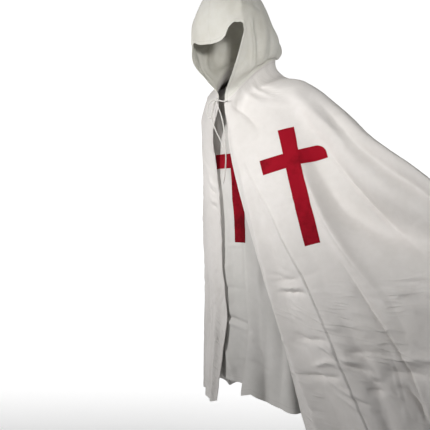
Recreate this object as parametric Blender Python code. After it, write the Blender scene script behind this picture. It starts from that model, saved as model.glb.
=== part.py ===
"""A hooded mantle worn open over a surcoat, each with a red Latin cross, hollow and in its worn pose.

Metres, +Z up. The wearer faces -Y and their left arm reaches out along +X under the mantle. The origin is on
the wearer's centre line, between the shoulders, level with the tie at the throat. Every cloth piece is a wall
of one thickness round a smooth mid surface, worked out from the tables below, and meets its neighbours at a
narrow seam gap.
"""

import math
from collections import namedtuple

import bpy
import numpy as np

WALL = 0.002  # thickness of the mantle, the hood and the surcoat
SEAM_PULL = 0.0002  # each panel stops this far short of the seam line
APPLIQUE_GAP = 0.0003  # between a panel and the cross sewn on it
APPLIQUE_WALL = 0.001
CORD_DIAMETER = 0.004
CLOTH_ROUGHNESS = 0.85
CROSS_ROUGHNESS = 0.75
CORD_ROUGHNESS = 0.70
SHARP_ANGLE = 50  # degrees; edges that bend more are shaded as edges
CURVE_SAMPLES = 160  # on each rib, when its length is measured

WHITE_COTTON = (0.78, 0.76, 0.72, 1.0)
GREY_WHITE_COTTON = (0.66, 0.65, 0.62, 1.0)
CRIMSON = (0.21, 0.004, 0.011, 1.0)
CORD_WHITE = (0.80, 0.79, 0.76, 1.0)

# The neck ring that the mantle hangs from and the hood is sewn to. Angles run from the throat round by the
# wearer's left side.
NECK_CENTRE_Y = -0.030
NECK_HALF_WIDTH = 0.078
NECK_FRONT_DEPTH = 0.125
NECK_BACK_DEPTH = 0.092
NAPE_HEIGHT = 0.145
THROAT_DROP = 0.140
COLLAR_FOOT = 0.010  # the mantle hangs straight down this far below the neck seam
HOOD_FOOT = 0.008  # and the hood stands this far above it

# The mantle is a half circle cut round the neck: cut angles run from the left front edge (0) over the left
# arm and round the back to the right front edge (180). Each rib runs from the neck over a shoulder point,
# a middle and a low point down to the hem.
CLOTH_REACH = 1.20  # along the cloth, neck seam to hem
NECK_CUT_RADIUS = 0.14
Rib = namedtuple("Rib", "name cut neck shoulder middle low hem")
MANTLE_RIBS = (
    Rib(
        "left_edge", 0, 8,
        (0.030, -0.155, -0.119), (0.153, -0.165, -0.451), (0.269, -0.155, -0.752), (0.360, -0.130, -1.080),
    ),
    Rib(
        "edge_fold", 5, 15,
        (0.050, -0.158, -0.105), (0.192, -0.180, -0.440), (0.320, -0.178, -0.740), (0.435, -0.170, -1.060),
    ),
    Rib(
        "crease", 13, 32,
        (0.088, -0.150, -0.090), (0.265, -0.186, -0.405), (0.428, -0.198, -0.660), (0.630, -0.200, -1.010),
    ),
    Rib(
        "under_cross", 20, 47,
        (0.135, -0.130, -0.065), (0.320, -0.165, -0.360), (0.505, -0.180, -0.620), (0.690, -0.190, -0.980),
    ),
    Rib(
        "long_ridge", 27, 58,
        (0.170, -0.110, -0.045), (0.365, -0.140, -0.320), (0.575, -0.150, -0.585), (0.735, -0.165, -0.945),
    ),
    Rib(
        "valley", 36, 70,
        (0.190, -0.080, -0.010), (0.405, -0.112, -0.245), (0.650, -0.125, -0.490), (0.795, -0.130, -0.880),
    ),
    Rib(
        "under_arm", 44, 80,
        (0.202, -0.045, 0.035), (0.435, -0.092, -0.155), (0.705, -0.120, -0.372), (0.822, -0.110, -0.800),
    ),
    Rib(
        "left_arm", 51, 90,
        (0.205, -0.002, 0.060), (0.450, -0.040, -0.101), (0.735, -0.080, -0.292), (0.830, -0.060, -0.720),
    ),
    Rib(
        "behind_arm", 59, 102,
        (0.190, 0.038, 0.054), (0.440, 0.025, -0.140), (0.700, 0.000, -0.375), (0.815, 0.010, -0.810),
    ),
    Rib(
        "left_back", 70, 124,
        (0.158, 0.074, 0.044), (0.370, 0.095, -0.270), (0.560, 0.115, -0.590), (0.680, 0.140, -0.960),
    ),
    Rib(
        "left_blade", 80, 150,
        (0.100, 0.104, 0.042), (0.225, 0.150, -0.335), (0.335, 0.190, -0.690), (0.420, 0.230, -1.060),
    ),
    Rib(
        "nape", 90, 180,
        (0.000, 0.118, 0.040), (0.025, 0.175, -0.330), (0.050, 0.225, -0.700), (0.070, 0.270, -1.075),
    ),
    Rib(
        "right_blade", 105, 210,
        (-0.100, 0.108, 0.035), (-0.150, 0.165, -0.330), (-0.190, 0.210, -0.690), (-0.225, 0.260, -1.060),
    ),
    Rib(
        "right_back", 120, 240,
        (-0.170, 0.070, 0.048), (-0.250, 0.120, -0.310), (-0.300, 0.160, -0.670), (-0.345, 0.200, -1.045),
    ),
    Rib(
        "right_arm", 135, 270,
        (-0.200, 0.008, 0.058), (-0.268, 0.045, -0.300), (-0.290, 0.070, -0.660), (-0.315, 0.090, -1.035),
    ),
    Rib(
        "right_side", 150, 295,
        (-0.178, -0.045, 0.035), (-0.220, -0.018, -0.310), (-0.222, 0.000, -0.670), (-0.232, 0.012, -1.025),
    ),
    Rib(
        "right_front", 165, 320,
        (-0.115, -0.105, -0.010), (-0.142, -0.100, -0.330),
        (-0.142, -0.092, -0.680), (-0.146, -0.082, -1.010),
    ),
    Rib(
        "right_edge", 180, 345,
        (-0.044, -0.150, -0.070), (-0.036, -0.147, -0.380),
        (-0.052, -0.138, -0.690), (-0.085, -0.128, -0.985),
    ),
)
MANTLE_ROWS = 18
ROW_CROWDING = 1.15  # rows are closer together at the neck than at the hem
# The panels between two cut angles, each an even number of cells wide: two cells meet one cell of the hood.
# The two left panels have as many cells together as the two right ones, as the halves of the hood do.
Panel = namedtuple("Panel", "name first_cut last_cut cells")
MANTLE_PANELS = (
    Panel("mantle_front_left", 0, 51, 30),
    Panel("mantle_back_left", 51, 90, 20),
    Panel("mantle_back_right", 90, 135, 26),
    Panel("mantle_front_right", 135, 180, 24),
)
HOOD_ROWS = 9
HOOD_ROW_CROWDING = 0.9

# Folds of the mantle: a line on the cut cloth from one cut angle and reach to another, its width on the
# side of the left front edge and on the far side, and its height (below zero for a trough). A fold starts
# lower than it ends, and fades out over a share of its length at both ends.
FOLD_START_HEIGHT = 0.4
FOLD_FADE = 0.2
Fold = namedtuple("Fold", "name cut reach end_cut end_reach near_width far_width height")
MANTLE_FOLDS = (
    Fold("edge roll", 4.5, 0.08, 1.5, 0.68, 0.030, 0.030, 0.012),
    Fold("low edge roll", 0.5, 0.58, 6.0, 1.40, 0.035, 0.035, 0.014),
    Fold("behind edge", 7.5, 0.30, 8.0, 1.40, 0.030, 0.030, -0.012),
    Fold("crease", 6.5, 0.22, 13.5, 1.40, 0.050, 0.020, 0.024),
    Fold("beside crease", 16.5, 0.45, 16.5, 1.40, 0.030, 0.040, -0.018),
    Fold("cross panel", 18.0, 0.12, 20.5, 0.80, 0.070, 0.060, 0.010),
    Fold("before ridge", 22.8, 0.58, 24.0, 1.30, 0.035, 0.025, -0.018),
    Fold("long ridge", 25.2, 0.40, 26.0, 0.95, 0.030, 0.022, 0.018),
    Fold("low ridge", 26.0, 0.70, 29.5, 1.40, 0.028, 0.024, 0.022),
    Fold("high valley", 27.8, 0.36, 31.0, 0.74, 0.028, 0.050, -0.022),
    Fold("low valley", 30.5, 0.58, 40.0, 1.10, 0.045, 0.050, -0.032),
    Fold("outer swell", 37.0, 0.90, 36.0, 1.40, 0.060, 0.060, 0.024),
    Fold("lit swell", 38.5, 0.42, 42.0, 0.95, 0.060, 0.050, 0.018),
    Fold("chest ridge", 42.0, 0.14, 45.0, 0.44, 0.018, 0.022, 0.008),
    Fold("chest valley", 39.0, 0.14, 37.8, 0.42, 0.030, 0.026, -0.009),
    Fold("under the arm", 46.3, 0.34, 47.5, 0.84, 0.035, 0.032, -0.020),
    Fold("wrist fall", 46.5, 0.84, 46.0, 1.40, 0.050, 0.050, -0.026),
    Fold("throat crease", 9.0, 0.02, 17.5, 0.16, 0.014, 0.014, -0.005),
    Fold("behind arm", 58.0, 0.35, 57.5, 1.40, 0.050, 0.055, -0.030),
    Fold("left back 1", 64.5, 0.30, 64.0, 1.40, 0.060, 0.050, 0.030),
    Fold("left back 2", 71.0, 0.25, 71.5, 1.40, 0.050, 0.065, -0.028),
    Fold("left back 3", 78.5, 0.18, 79.0, 1.40, 0.060, 0.050, 0.036),
    Fold("left back 4", 85.5, 0.22, 86.5, 1.40, 0.050, 0.055, -0.030),
    Fold("back 1", 94.0, 0.15, 93.0, 1.40, 0.055, 0.065, 0.045),
    Fold("back 2", 100.5, 0.25, 100.0, 1.40, 0.050, 0.050, -0.040),
    Fold("back 3", 107.5, 0.16, 108.0, 1.40, 0.065, 0.055, 0.045),
    Fold("back 4", 115.0, 0.28, 115.5, 1.40, 0.050, 0.060, -0.042),
    Fold("back 5", 122.5, 0.18, 123.0, 1.40, 0.060, 0.050, 0.040),
    Fold("back 6", 129.5, 0.30, 130.5, 1.40, 0.050, 0.055, -0.036),
    Fold("right side 1", 137.0, 0.30, 138.5, 1.40, 0.055, 0.050, 0.020),
    Fold("right side 2", 145.0, 0.35, 146.0, 1.40, 0.050, 0.055, -0.028),
    Fold("right side 3", 153.5, 0.35, 154.5, 1.40, 0.050, 0.045, 0.012),
    Fold("right side 4", 161.5, 0.40, 162.0, 1.40, 0.045, 0.050, -0.014),
    Fold("right edge roll", 173.0, 0.30, 172.0, 1.40, 0.040, 0.040, 0.010),
)


def smooth(places, values, at):
    """The values at some places of the smooth curve through values at the given places."""
    places, values, at = (np.asarray(item, float) for item in (places, values, at))
    slopes = np.gradient(values, places, axis=0)
    k = np.clip(np.searchsorted(places, at, side="right") - 1, 0, len(places) - 2)
    step = (places[k + 1] - places[k]).reshape(-1, *[1] * (values.ndim - 1))
    t = ((at - places[k])).reshape(step.shape) / step
    rise = t * t * (3 - 2 * t)
    first = t * (1 - t) ** 2 * step
    last = t * t * (t - 1) * step
    return (1 - rise) * values[k] + rise * values[k + 1] + first * slopes[k] + last * slopes[k + 1]


def along(points, shares):
    """Points at the given shares of the length of the smooth curve through some points."""
    points = np.asarray(points, float)
    chords = np.concatenate([[0], np.cumsum(np.linalg.norm(np.diff(points, axis=0), axis=1))])
    fine = smooth(chords, points, np.linspace(0, chords[-1], CURVE_SAMPLES))
    lengths = np.concatenate([[0], np.cumsum(np.linalg.norm(np.diff(fine, axis=0), axis=1))])
    wanted = np.asarray(shares) * lengths[-1]
    return np.stack([np.interp(wanted, lengths, fine[:, axis]) for axis in range(3)], axis=1)


def neck_point(angle):
    """A point of the neck ring, at an angle in degrees from the throat."""
    turn = math.radians(angle)
    depth = NECK_FRONT_DEPTH if math.cos(turn) > 0 else NECK_BACK_DEPTH
    height = NAPE_HEIGHT - THROAT_DROP * ((1 + math.cos(turn)) / 2) ** 3
    return np.array([NECK_HALF_WIDTH * math.sin(turn), NECK_CENTRE_Y - depth * math.cos(turn), height])


def rib_points(cut):
    """The control points of the mantle's rib at a cut angle."""
    cuts = [rib.cut for rib in MANTLE_RIBS]
    start = neck_point(float(smooth(cuts, [rib.neck for rib in MANTLE_RIBS], [cut])[0]))
    foot = start + [0, 0, -COLLAR_FOOT]
    stations = [
        smooth(cuts, [getattr(rib, station) for rib in MANTLE_RIBS], [cut])[0]
        for station in ("shoulder", "middle", "low", "hem")
    ]
    return [start, foot, *stations]


def mantle_rows():
    """Shares of a rib's length at which the rows of the mantle lie."""
    return (np.arange(MANTLE_ROWS + 1) / MANTLE_ROWS) ** ROW_CROWDING


def flat_place(cut, reach):
    """Where a point of the mantle lies on the flat half circle."""
    turn = np.radians(cut)
    radius = np.asarray(reach) + NECK_CUT_RADIUS
    return np.stack([radius * np.sin(turn), radius * np.cos(turn)], axis=-1)


def fold_height(fold, places):
    """How far a fold lifts the cloth at some places of the flat cut."""
    start = flat_place(fold.cut, fold.reach)
    end = flat_place(fold.end_cut, fold.end_reach)
    length = np.linalg.norm(end - start)
    way = (end - start) / length
    along_fold = (places - start) @ way / length
    across = (places - start) @ np.array([way[1], -way[0]])
    width = np.where(across < 0, fold.near_width, fold.far_width)
    ends = np.clip(along_fold / FOLD_FADE, 0, 1) * np.clip((1 - along_fold) / FOLD_FADE, 0, 1)
    ends = ends * ends * (3 - 2 * ends)
    growth = FOLD_START_HEIGHT + (1 - FOLD_START_HEIGHT) * np.clip(along_fold, 0, 1)
    return fold.height * growth * ends * np.exp(-((across / width) ** 2))


def grid_normals(grid):
    """Unit normals of a grid of points, on the side from which its rows and columns turn clockwise."""
    across = np.gradient(grid, axis=0)
    down = np.gradient(grid, axis=1)
    normals = np.cross(down, across)
    return normals / np.linalg.norm(normals, axis=2, keepdims=True)


def mantle_grid(cuts):
    """Mid surface points of the mantle, one column for each cut angle."""
    rows = mantle_rows()
    grid = np.stack([along(rib_points(cut), rows) for cut in cuts])
    places = flat_place(np.asarray(cuts)[:, None], (rows * CLOTH_REACH)[None, :])
    lift = sum(fold_height(fold, places) for fold in MANTLE_FOLDS)
    return grid + grid_normals(grid) * lift[..., None]


# ---------------------------------------------------------------------------------------- the hood

# Each half of the hood runs from the neck seam up to the crown seam in the middle plane. A rib starts at a
# neck angle and runs by four points to its place (y, z) on the crown seam. The first rib is the free rim.
HoodRib = namedtuple("HoodRib", "name neck cheek side upper brow")
HOOD_LEFT = (
    HoodRib(
        "rim", 8,
        (0.062, -0.172, 0.085), (0.094, -0.166, 0.180), (0.092, -0.158, 0.248), (0.060, -0.190, 0.218),
    ),
    HoodRib(
        "temple", 32,
        (0.086, -0.138, 0.100), (0.103, -0.128, 0.180), (0.098, -0.134, 0.285), (0.062, -0.182, 0.290),
    ),
    HoodRib(
        "ear", 58,
        (0.094, -0.096, 0.115), (0.108, -0.084, 0.185), (0.094, -0.086, 0.285), (0.062, -0.122, 0.345),
    ),
    HoodRib(
        "head_side", 90,
        (0.094, -0.036, 0.142), (0.101, -0.022, 0.190), (0.082, -0.030, 0.270), (0.052, -0.046, 0.335),
    ),
    HoodRib(
        "head_back", 125,
        (0.072, 0.020, 0.158), (0.078, 0.026, 0.190), (0.062, 0.018, 0.245), (0.036, 0.008, 0.298),
    ),
    HoodRib(
        "nape_side", 155,
        (0.040, 0.064, 0.156), (0.046, 0.074, 0.176), (0.040, 0.070, 0.204), (0.022, 0.060, 0.236),
    ),
    HoodRib(
        "nape", 180,
        (0.000, 0.074, 0.155), (0.000, 0.086, 0.163), (0.000, 0.096, 0.171), (0.000, 0.103, 0.178),
    ),
)
HOOD_RIGHT = (
    HoodRib(
        "rim", 345,
        (-0.064, -0.158, 0.072), (-0.096, -0.194, 0.140), (-0.094, -0.190, 0.190), (-0.050, -0.202, 0.180),
    ),
    HoodRib(
        "temple", 322,
        (-0.086, -0.138, 0.095), (-0.104, -0.162, 0.165), (-0.106, -0.180, 0.262), (-0.058, -0.206, 0.272),
    ),
    HoodRib(
        "ear", 298,
        (-0.094, -0.096, 0.115), (-0.112, -0.096, 0.185), (-0.104, -0.112, 0.300), (-0.062, -0.150, 0.350),
    ),
    HoodRib(
        "head_side", 270,
        (-0.094, -0.036, 0.142), (-0.106, -0.024, 0.190), (-0.092, -0.034, 0.280), (-0.056, -0.052, 0.340),
    ),
    HoodRib(
        "head_back", 238,
        (-0.072, 0.020, 0.158), (-0.082, 0.026, 0.190), (-0.068, 0.018, 0.250), (-0.038, 0.008, 0.302),
    ),
    HoodRib(
        "nape_side", 206,
        (-0.040, 0.064, 0.156), (-0.046, 0.074, 0.176), (-0.040, 0.070, 0.204), (-0.022, 0.060, 0.236),
    ),
    HoodRib(
        "nape", 180,
        (0.000, 0.074, 0.155), (0.000, 0.086, 0.163), (0.000, 0.096, 0.171), (0.000, 0.103, 0.178),
    ),
)
# The crown seam, (y, z), where each of the ribs above ends.
CROWN_SEAM = (
    (-0.204, 0.176), (-0.212, 0.275), (-0.176, 0.362), (-0.078, 0.378), (-0.008, 0.330), (0.048, 0.262),
    (0.108, 0.186),
)


def hood_grid(ribs, neck_points):
    """Mid surface points of one half of the hood, one column for each of the neck points."""
    places = np.linspace(0, 1, len(ribs))
    at = np.linspace(0, 1, len(neck_points))
    stations = [smooth(places, [getattr(rib, name) for rib in ribs], at) for name in HoodRib._fields[2:]]
    seam = smooth(places, CROWN_SEAM, at)
    shares = (np.arange(HOOD_ROWS + 1) / HOOD_ROWS) ** HOOD_ROW_CROWDING
    columns = []
    for k, start in enumerate(neck_points):
        foot = start + [0, 0, HOOD_FOOT]
        end = [0, *seam[k]]
        columns.append(along([start, foot, *(station[k] for station in stations), end], shares))
    return np.stack(columns)


# ------------------------------------------------------------------------------------- the surcoat

# Rings of the surcoat: a height and, there, the centre across, half the width, the depths to front and back.
Ring = namedtuple("Ring", "name height centre half_width front back")
SURCOAT_RINGS = (
    Ring("hem", -0.950, 0.046, 0.222, 0.112, 0.150),
    Ring("knee", -0.740, 0.042, 0.198, 0.110, 0.135),
    Ring("hip", -0.560, 0.030, 0.182, 0.114, 0.120),
    Ring("waist", -0.380, 0.020, 0.170, 0.113, 0.100),
    Ring("chest", -0.160, 0.010, 0.182, 0.118, 0.104),
    Ring("above", -0.060, 0.005, 0.186, 0.112, 0.100),
)
RING_ROUNDNESS = 2.3  # 2 is an ellipse, more is squarer
UNDERARM_HEIGHT = -0.160
SURCOAT_SHOULDER = namedtuple("Shoulder", "neck tip")((0.088, 0.0, 0.092), (0.184, 0.0, 0.050))
SURCOAT_NECKLINE = {"front": (-0.098, -0.022), "back": (0.086, 0.078)}  # y and z of its lowest point
NECKLINE_SHARE = 0.42  # of half the panel's columns
NECKLINE_RISE = 2.2  # more makes the neckline's middle flatter
ARMHOLE_BOW = (0.016, 0.052, 0.030)  # how far its edge bends inwards, forwards or back, and down
ARMHOLE_SHARPNESS = 5  # more keeps the bend nearer to the armhole
UPPER_BOW = 0.4  # of the bend forwards or back, near the shoulder
# The chest of each panel curves up from the underarm ring to the shoulder line by two handles, each a way
# forwards or back and a way up. The upper one changes from the middle to the shoulder.
CHEST_HANDLE = (0.004, 0.075)
COLLAR_HANDLE = (0.012, -0.045)
SHOULDER_HANDLE = (0.062, -0.015)
SURCOAT_CELLS = 22
SURCOAT_SKIRT_ROWS = 13
SURCOAT_CHEST_ROWS = 6
SLIT_TOP_ROW = 6  # of the skirt rows, counted from the hem
SLIT_GAP = 0.005
SLIT_STEP_BACK = 0.030  # the wearer's right half hangs behind the left one
SKIRT_RIGHT_LIFT = 0.045  # and its hem is higher
SLIT_HEM_DROP = 0.027  # of the left half's corner, below the right half's
SKIRT_RISE_SHARES = (0.3, -0.1)  # the front hem rises between these shares of the panel

# Upright folds of the surcoat: an angle round it from the front towards the wearer's left, the height at
# which it starts (all run down to the hem), its half width in degrees, and its height at the hem.
SkirtFold = namedtuple("SkirtFold", "name angle top width height")
SKIRT_MIDDLE = 0.020  # the folds stand out from this place across
SKIRT_FACING = 2.2  # and more to the front and back than to the sides
SKIRT_FOLD_GROWTH = 1.2
SURCOAT_FOLDS = (
    SkirtFold("left trough", 22, -0.50, 9, -0.030),
    SkirtFold("left lobe", 50, -0.42, 13, 0.034),
    SkirtFold("right trough", -38, -0.45, 11, -0.016),
    SkirtFold("right lobe", -14, -0.55, 9, 0.010),
    SkirtFold("back left", 128, -0.35, 12, 0.022),
    SkirtFold("back middle", 158, -0.30, 10, -0.022),
    SkirtFold("back right", -158, -0.38, 12, 0.022),
    SkirtFold("back far right", -124, -0.45, 12, -0.018),
)


def ring_point(angle, height):
    """A point of the surcoat at an angle in degrees round its ring of a height."""
    heights = [ring.height for ring in SURCOAT_RINGS]
    centre, half_width, front, back = smooth(heights, [ring[2:] for ring in SURCOAT_RINGS], [height])[0]
    turn = math.radians(angle)
    power = 2 / RING_ROUNDNESS
    depth = front if math.cos(turn) > 0 else back
    x = centre + half_width * math.copysign(abs(math.sin(turn)) ** power, math.sin(turn))
    y = -depth * math.copysign(abs(math.cos(turn)) ** power, math.cos(turn))
    if abs(math.cos(turn)) < 1e-9:
        y = 0.0
    return np.array([x, y, height])


def skirt_lift(angle, height):
    """How far the surcoat's folds lift it at an angle and a height."""
    total = 0.0
    for fold in SURCOAT_FOLDS:
        off = (angle - fold.angle + 180) % 360 - 180
        grown = min(max((fold.top - height) / (fold.top - SURCOAT_RINGS[0].height), 0), 1)
        total += fold.height * grown ** SKIRT_FOLD_GROWTH * math.exp(-((off / fold.width) ** 2))
    return total


def surcoat_column(side, share):
    """The mid surface points of one column of a panel, from the hem up. share runs from -1 at the wearer's
    right side seam to 1 at the left one."""
    facing = -1 if side == "front" else 1
    angle = 90 * share if side == "front" else 180 - 90 * share
    first, last = SKIRT_RISE_SHARES if side == "front" else (1, -1)
    right = min(max((first - share) / (first - last), 0), 1)
    hem = SURCOAT_RINGS[0].height + SKIRT_RIGHT_LIFT * right * right * (3 - 2 * right)
    skirt = []
    for height in np.linspace(hem, UNDERARM_HEIGHT, SURCOAT_SKIRT_ROWS + 1):
        point = ring_point(angle, height)
        outward = np.array([point[0] - SKIRT_MIDDLE, SKIRT_FACING * point[1], 0.0])
        skirt.append(point + outward / np.linalg.norm(outward) * skirt_lift(angle, height))
    chest, width = skirt[-1], abs(share)
    sign = math.copysign(1, share)
    low_y, low_z = SURCOAT_NECKLINE[side]
    neck, tip = np.array(SURCOAT_SHOULDER.neck), np.array(SURCOAT_SHOULDER.tip)
    if width < NECKLINE_SHARE:
        way = width / NECKLINE_SHARE
        top_z = low_z + (neck[2] - low_z) * way ** NECKLINE_RISE
        top = np.array([neck[0] * way, low_y * (1 - way ** 2) ** 0.5, top_z])
    else:
        way = (width - NECKLINE_SHARE) / (1 - NECKLINE_SHARE)
        top = neck + (tip - neck) * way
    top = top * [sign, 1, 1]
    over = min(width / NECKLINE_SHARE, 1) ** 2
    bow = np.array([-sign * ARMHOLE_BOW[0], facing * ARMHOLE_BOW[1], -ARMHOLE_BOW[2]])
    bow = bow * width ** ARMHOLE_SHARPNESS
    lower = chest + [0, facing * CHEST_HANDLE[0], CHEST_HANDLE[1]] + bow
    handle = (1 - over) * np.array(COLLAR_HANDLE) + over * np.array(SHOULDER_HANDLE)
    upper = top + [0, facing * handle[0], handle[1]] + bow * [1, UPPER_BOW, 1]
    upward = []
    for t in np.arange(1, SURCOAT_CHEST_ROWS + 1) / SURCOAT_CHEST_ROWS:
        s = 1 - t
        upward.append(s ** 3 * chest + 3 * s * s * t * lower + 3 * s * t * t * upper + t ** 3 * top)
    return np.array(skirt + upward)


# ----------------------------------------------------------------------- walls, seams and appliques


class Sheet:
    """One cut piece of cloth: its mid surface points and the triangles between them. midway lists the points
    of an edge that lie halfway between two others, as (point, before, after)."""

    def __init__(self, name, points, triangles, midway=()):
        self.name = name
        self.points = np.array(points, float)
        self.triangles = triangles
        self.midway = midway
        self.normals = None


def grid_triangles(points, number):
    """Triangles of a grid of cells, each cut across its shorter diagonal. number gives a cell corner's
    place in the list of points."""
    columns, rows = number.shape
    found = []
    for i in range(columns - 1):
        for j in range(rows - 1):
            a, b, c, d = number[i, j], number[i + 1, j], number[i + 1, j + 1], number[i, j + 1]
            if np.linalg.norm(points[a] - points[c]) <= np.linalg.norm(points[b] - points[d]):
                found += [(a, c, b), (a, d, c)]
            else:
                found += [(a, d, b), (b, d, c)]
    return found


def sheet_of_grid(name, grid, turned=False, midway=False):
    """A sheet from a grid of points. turned flips the side that it faces. midway says that every second point
    of its first row lies halfway between its neighbours."""
    columns, rows = grid.shape[:2]
    points = grid.reshape(-1, 3)
    number = np.arange(columns * rows).reshape(columns, rows)
    triangles = grid_triangles(points, number)
    if turned:
        triangles = [(a, c, b) for a, b, c in triangles]
    places = [(number[i, 0], number[i - 1, 0], number[i + 1, 0]) for i in range(1, columns - 1, 2) if midway]
    return Sheet(name, points, triangles, places)


def share_normals(sheets):
    """Gives every sheet normals that it has in common with the sheets it is sewn to."""
    sums = {}
    for sheet in sheets:
        corners = sheet.points[np.array(sheet.triangles)]
        faces = np.cross(corners[:, 1] - corners[:, 0], corners[:, 2] - corners[:, 0])
        for triangle, normal in zip(sheet.triangles, faces):
            for corner in triangle:
                key = tuple(np.round(sheet.points[corner], 6))
                sums[key] = sums.get(key, 0) + normal
    for sheet in sheets:
        found = np.array([sums[tuple(np.round(point, 6))] for point in sheet.points])
        sheet.normals = found / np.linalg.norm(found, axis=1, keepdims=True)
        for point, before, after in sheet.midway:
            sheet.normals[point] = (sheet.normals[before] + sheet.normals[after]) / 2


def free_edges(triangles):
    """The edges that only one triangle has, each in that triangle's direction."""
    edges = [(t[k], t[(k + 1) % 3]) for t in triangles for k in range(3)]
    known = set(edges)
    return [edge for edge in edges if (edge[1], edge[0]) not in known]


def pull_seams(sheets):
    """Draws each sheet's edge back from the seams, so that neighbours stay apart."""
    owners = {}
    for sheet in sheets:
        for point in sheet.points:
            owners.setdefault(tuple(np.round(point, 6)), set()).add(sheet.name)
    for sheet in sheets:
        start = sheet.points.copy()
        moves = np.zeros_like(start)
        middles = {point for point, before, after in sheet.midway}
        for a, b in free_edges(sheet.triangles):
            if not all(k in middles or len(owners[tuple(np.round(start[k], 6))]) > 1 for k in (a, b)):
                continue
            inward = np.cross(sheet.normals[a] + sheet.normals[b], start[b] - start[a])
            moves[[a, b]] += inward / np.linalg.norm(inward)
        lengths = np.linalg.norm(moves, axis=1, keepdims=True)
        moves = np.where(lengths > 0.5, moves / np.maximum(lengths, 1e-9), 0)
        # At a corner where two seams meet, both edges have to draw back.
        moves *= np.where(lengths < 1.9, 2 / np.maximum(lengths, 1.0), 1)
        for point, before, after in sheet.midway:
            moves[point] = (moves[before] + moves[after]) / 2
        sheet.points = start + moves * SEAM_PULL


def material(name, colour, roughness):
    """A plain material for a piece."""
    made = bpy.data.materials.new(name)
    made.use_nodes = True
    shader = made.node_tree.nodes["Principled BSDF"]
    shader.inputs["Base Color"].default_value = colour
    shader.inputs["Roughness"].default_value = roughness
    shader.inputs["Metallic"].default_value = 0.0
    made.diffuse_color = colour
    return made


def add_wall(sheet, near, far, looks):
    """The closed body between two distances from a sheet, along its normals, as an object."""
    count = len(sheet.points)
    points = np.concatenate([sheet.points + sheet.normals * far, sheet.points + sheet.normals * near])
    faces = [tuple(t) for t in sheet.triangles]
    faces += [(a + count, c + count, b + count) for a, b, c in sheet.triangles]
    for a, b in free_edges(sheet.triangles):
        faces += [(b, a, a + count), (b, a + count, b + count)]
    mesh = bpy.data.meshes.new(sheet.name)
    mesh.from_pydata([tuple(point) for point in points], [], [tuple(int(k) for k in face) for face in faces])
    mesh.shade_smooth()
    mesh.set_sharp_from_angle(angle=math.radians(SHARP_ANGLE))
    mesh.materials.append(looks)
    piece = bpy.data.objects.new(sheet.name, mesh)
    bpy.context.scene.collection.objects.link(piece)
    return piece


# Crosses. A cross is drawn on a plane before its panel: its centre is where the bars cross, up runs along
# the upright bar and across along the other one, towards the wearer's left.
Cross = namedtuple("Cross", "name centre up across")
CROSS_BAR = 0.046
CROSS_TOP = 0.100  # from the centre to the end of each arm
CROSS_ARM = 0.098
CROSS_FOOT = 0.261
CROSS_SNAP = 0.0008  # panel points this close to the cross's outline are moved onto it
MANTLE_CROSS = Cross("mantle_cross", (0.262, -0.130, -0.176), (-0.368, 0.0, 0.930), (0.905, 0.316, 0.285))
SURCOAT_CROSS = Cross("surcoat_cross", (0.026, -0.118, -0.180), (-0.050, 0.0, 0.999), (1.0, 0.0, 0.05))


def split(polygon, axis, value):
    """The parts of a polygon below and above the line where one of its coordinates has a value."""
    below, above = [], []
    for k, start in enumerate(polygon):
        end = polygon[(k + 1) % len(polygon)]
        if start[axis] <= value:
            below.append(start)
        if start[axis] >= value:
            above.append(start)
        if (start[axis] - value) * (end[axis] - value) < 0:
            first, second = sorted((start, end), key=lambda corner: tuple(corner))
            middle = first + (second - first) * ((value - first[axis]) / (second[axis] - first[axis]))
            middle[axis] = value
            below.append(middle)
            above.append(middle)
    return [part for part in (below, above) if len(part) > 2]


def in_cross(a, b):
    """Whether a point of the cross's plane, across and up from its centre, lies on the cross."""
    upright = abs(a) < CROSS_BAR / 2 and -CROSS_FOOT < b < CROSS_TOP
    return upright or (abs(b) < CROSS_BAR / 2 and abs(a) < CROSS_ARM)


def cross_sheet(cross, panel):
    """The part of a panel under a cross, as a sheet made from the panel's own points."""
    out = np.cross(cross.across, cross.up)
    off = panel.points - np.array(cross.centre)
    plane = np.linalg.solve(np.array([cross.across, cross.up, out]).T, off.T).T[:, :2]
    lines = [(0, value) for value in (-CROSS_ARM, -CROSS_BAR / 2, CROSS_BAR / 2, CROSS_ARM)]
    lines += [(1, value) for value in (-CROSS_FOOT, -CROSS_BAR / 2, CROSS_BAR / 2, CROSS_TOP)]
    for axis, value in lines:
        near = np.abs(plane[:, axis] - value) < CROSS_SNAP
        plane[near, axis] = value
    facing = panel.normals @ out > 0
    data = np.concatenate([plane, panel.points, panel.normals], axis=1)
    numbers, points, normals, triangles = {}, [], [], []
    for triangle in panel.triangles:
        if not facing[list(triangle)].all():
            continue
        parts = [[data[k] for k in triangle]]
        for axis, value in lines:
            parts = [piece for part in parts for piece in split(part, axis, value)]
        for part in parts:
            middle = np.mean(part, axis=0)
            if not in_cross(middle[0], middle[1]):
                continue
            corners = []
            for corner in part:
                key = tuple(np.round(corner[:2], 6))
                if key not in numbers:
                    numbers[key] = len(points)
                    points.append(corner[2:5])
                    normals.append(corner[5:8])
                corners.append(numbers[key])
            triangles += [(corners[0], corners[k], corners[k + 1]) for k in range(1, len(corners) - 1)]
    found = Sheet(cross.name, points, triangles)
    found.normals = np.array(normals)
    return found


# ------------------------------------------------------------------------------------ the neck tie

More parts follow.
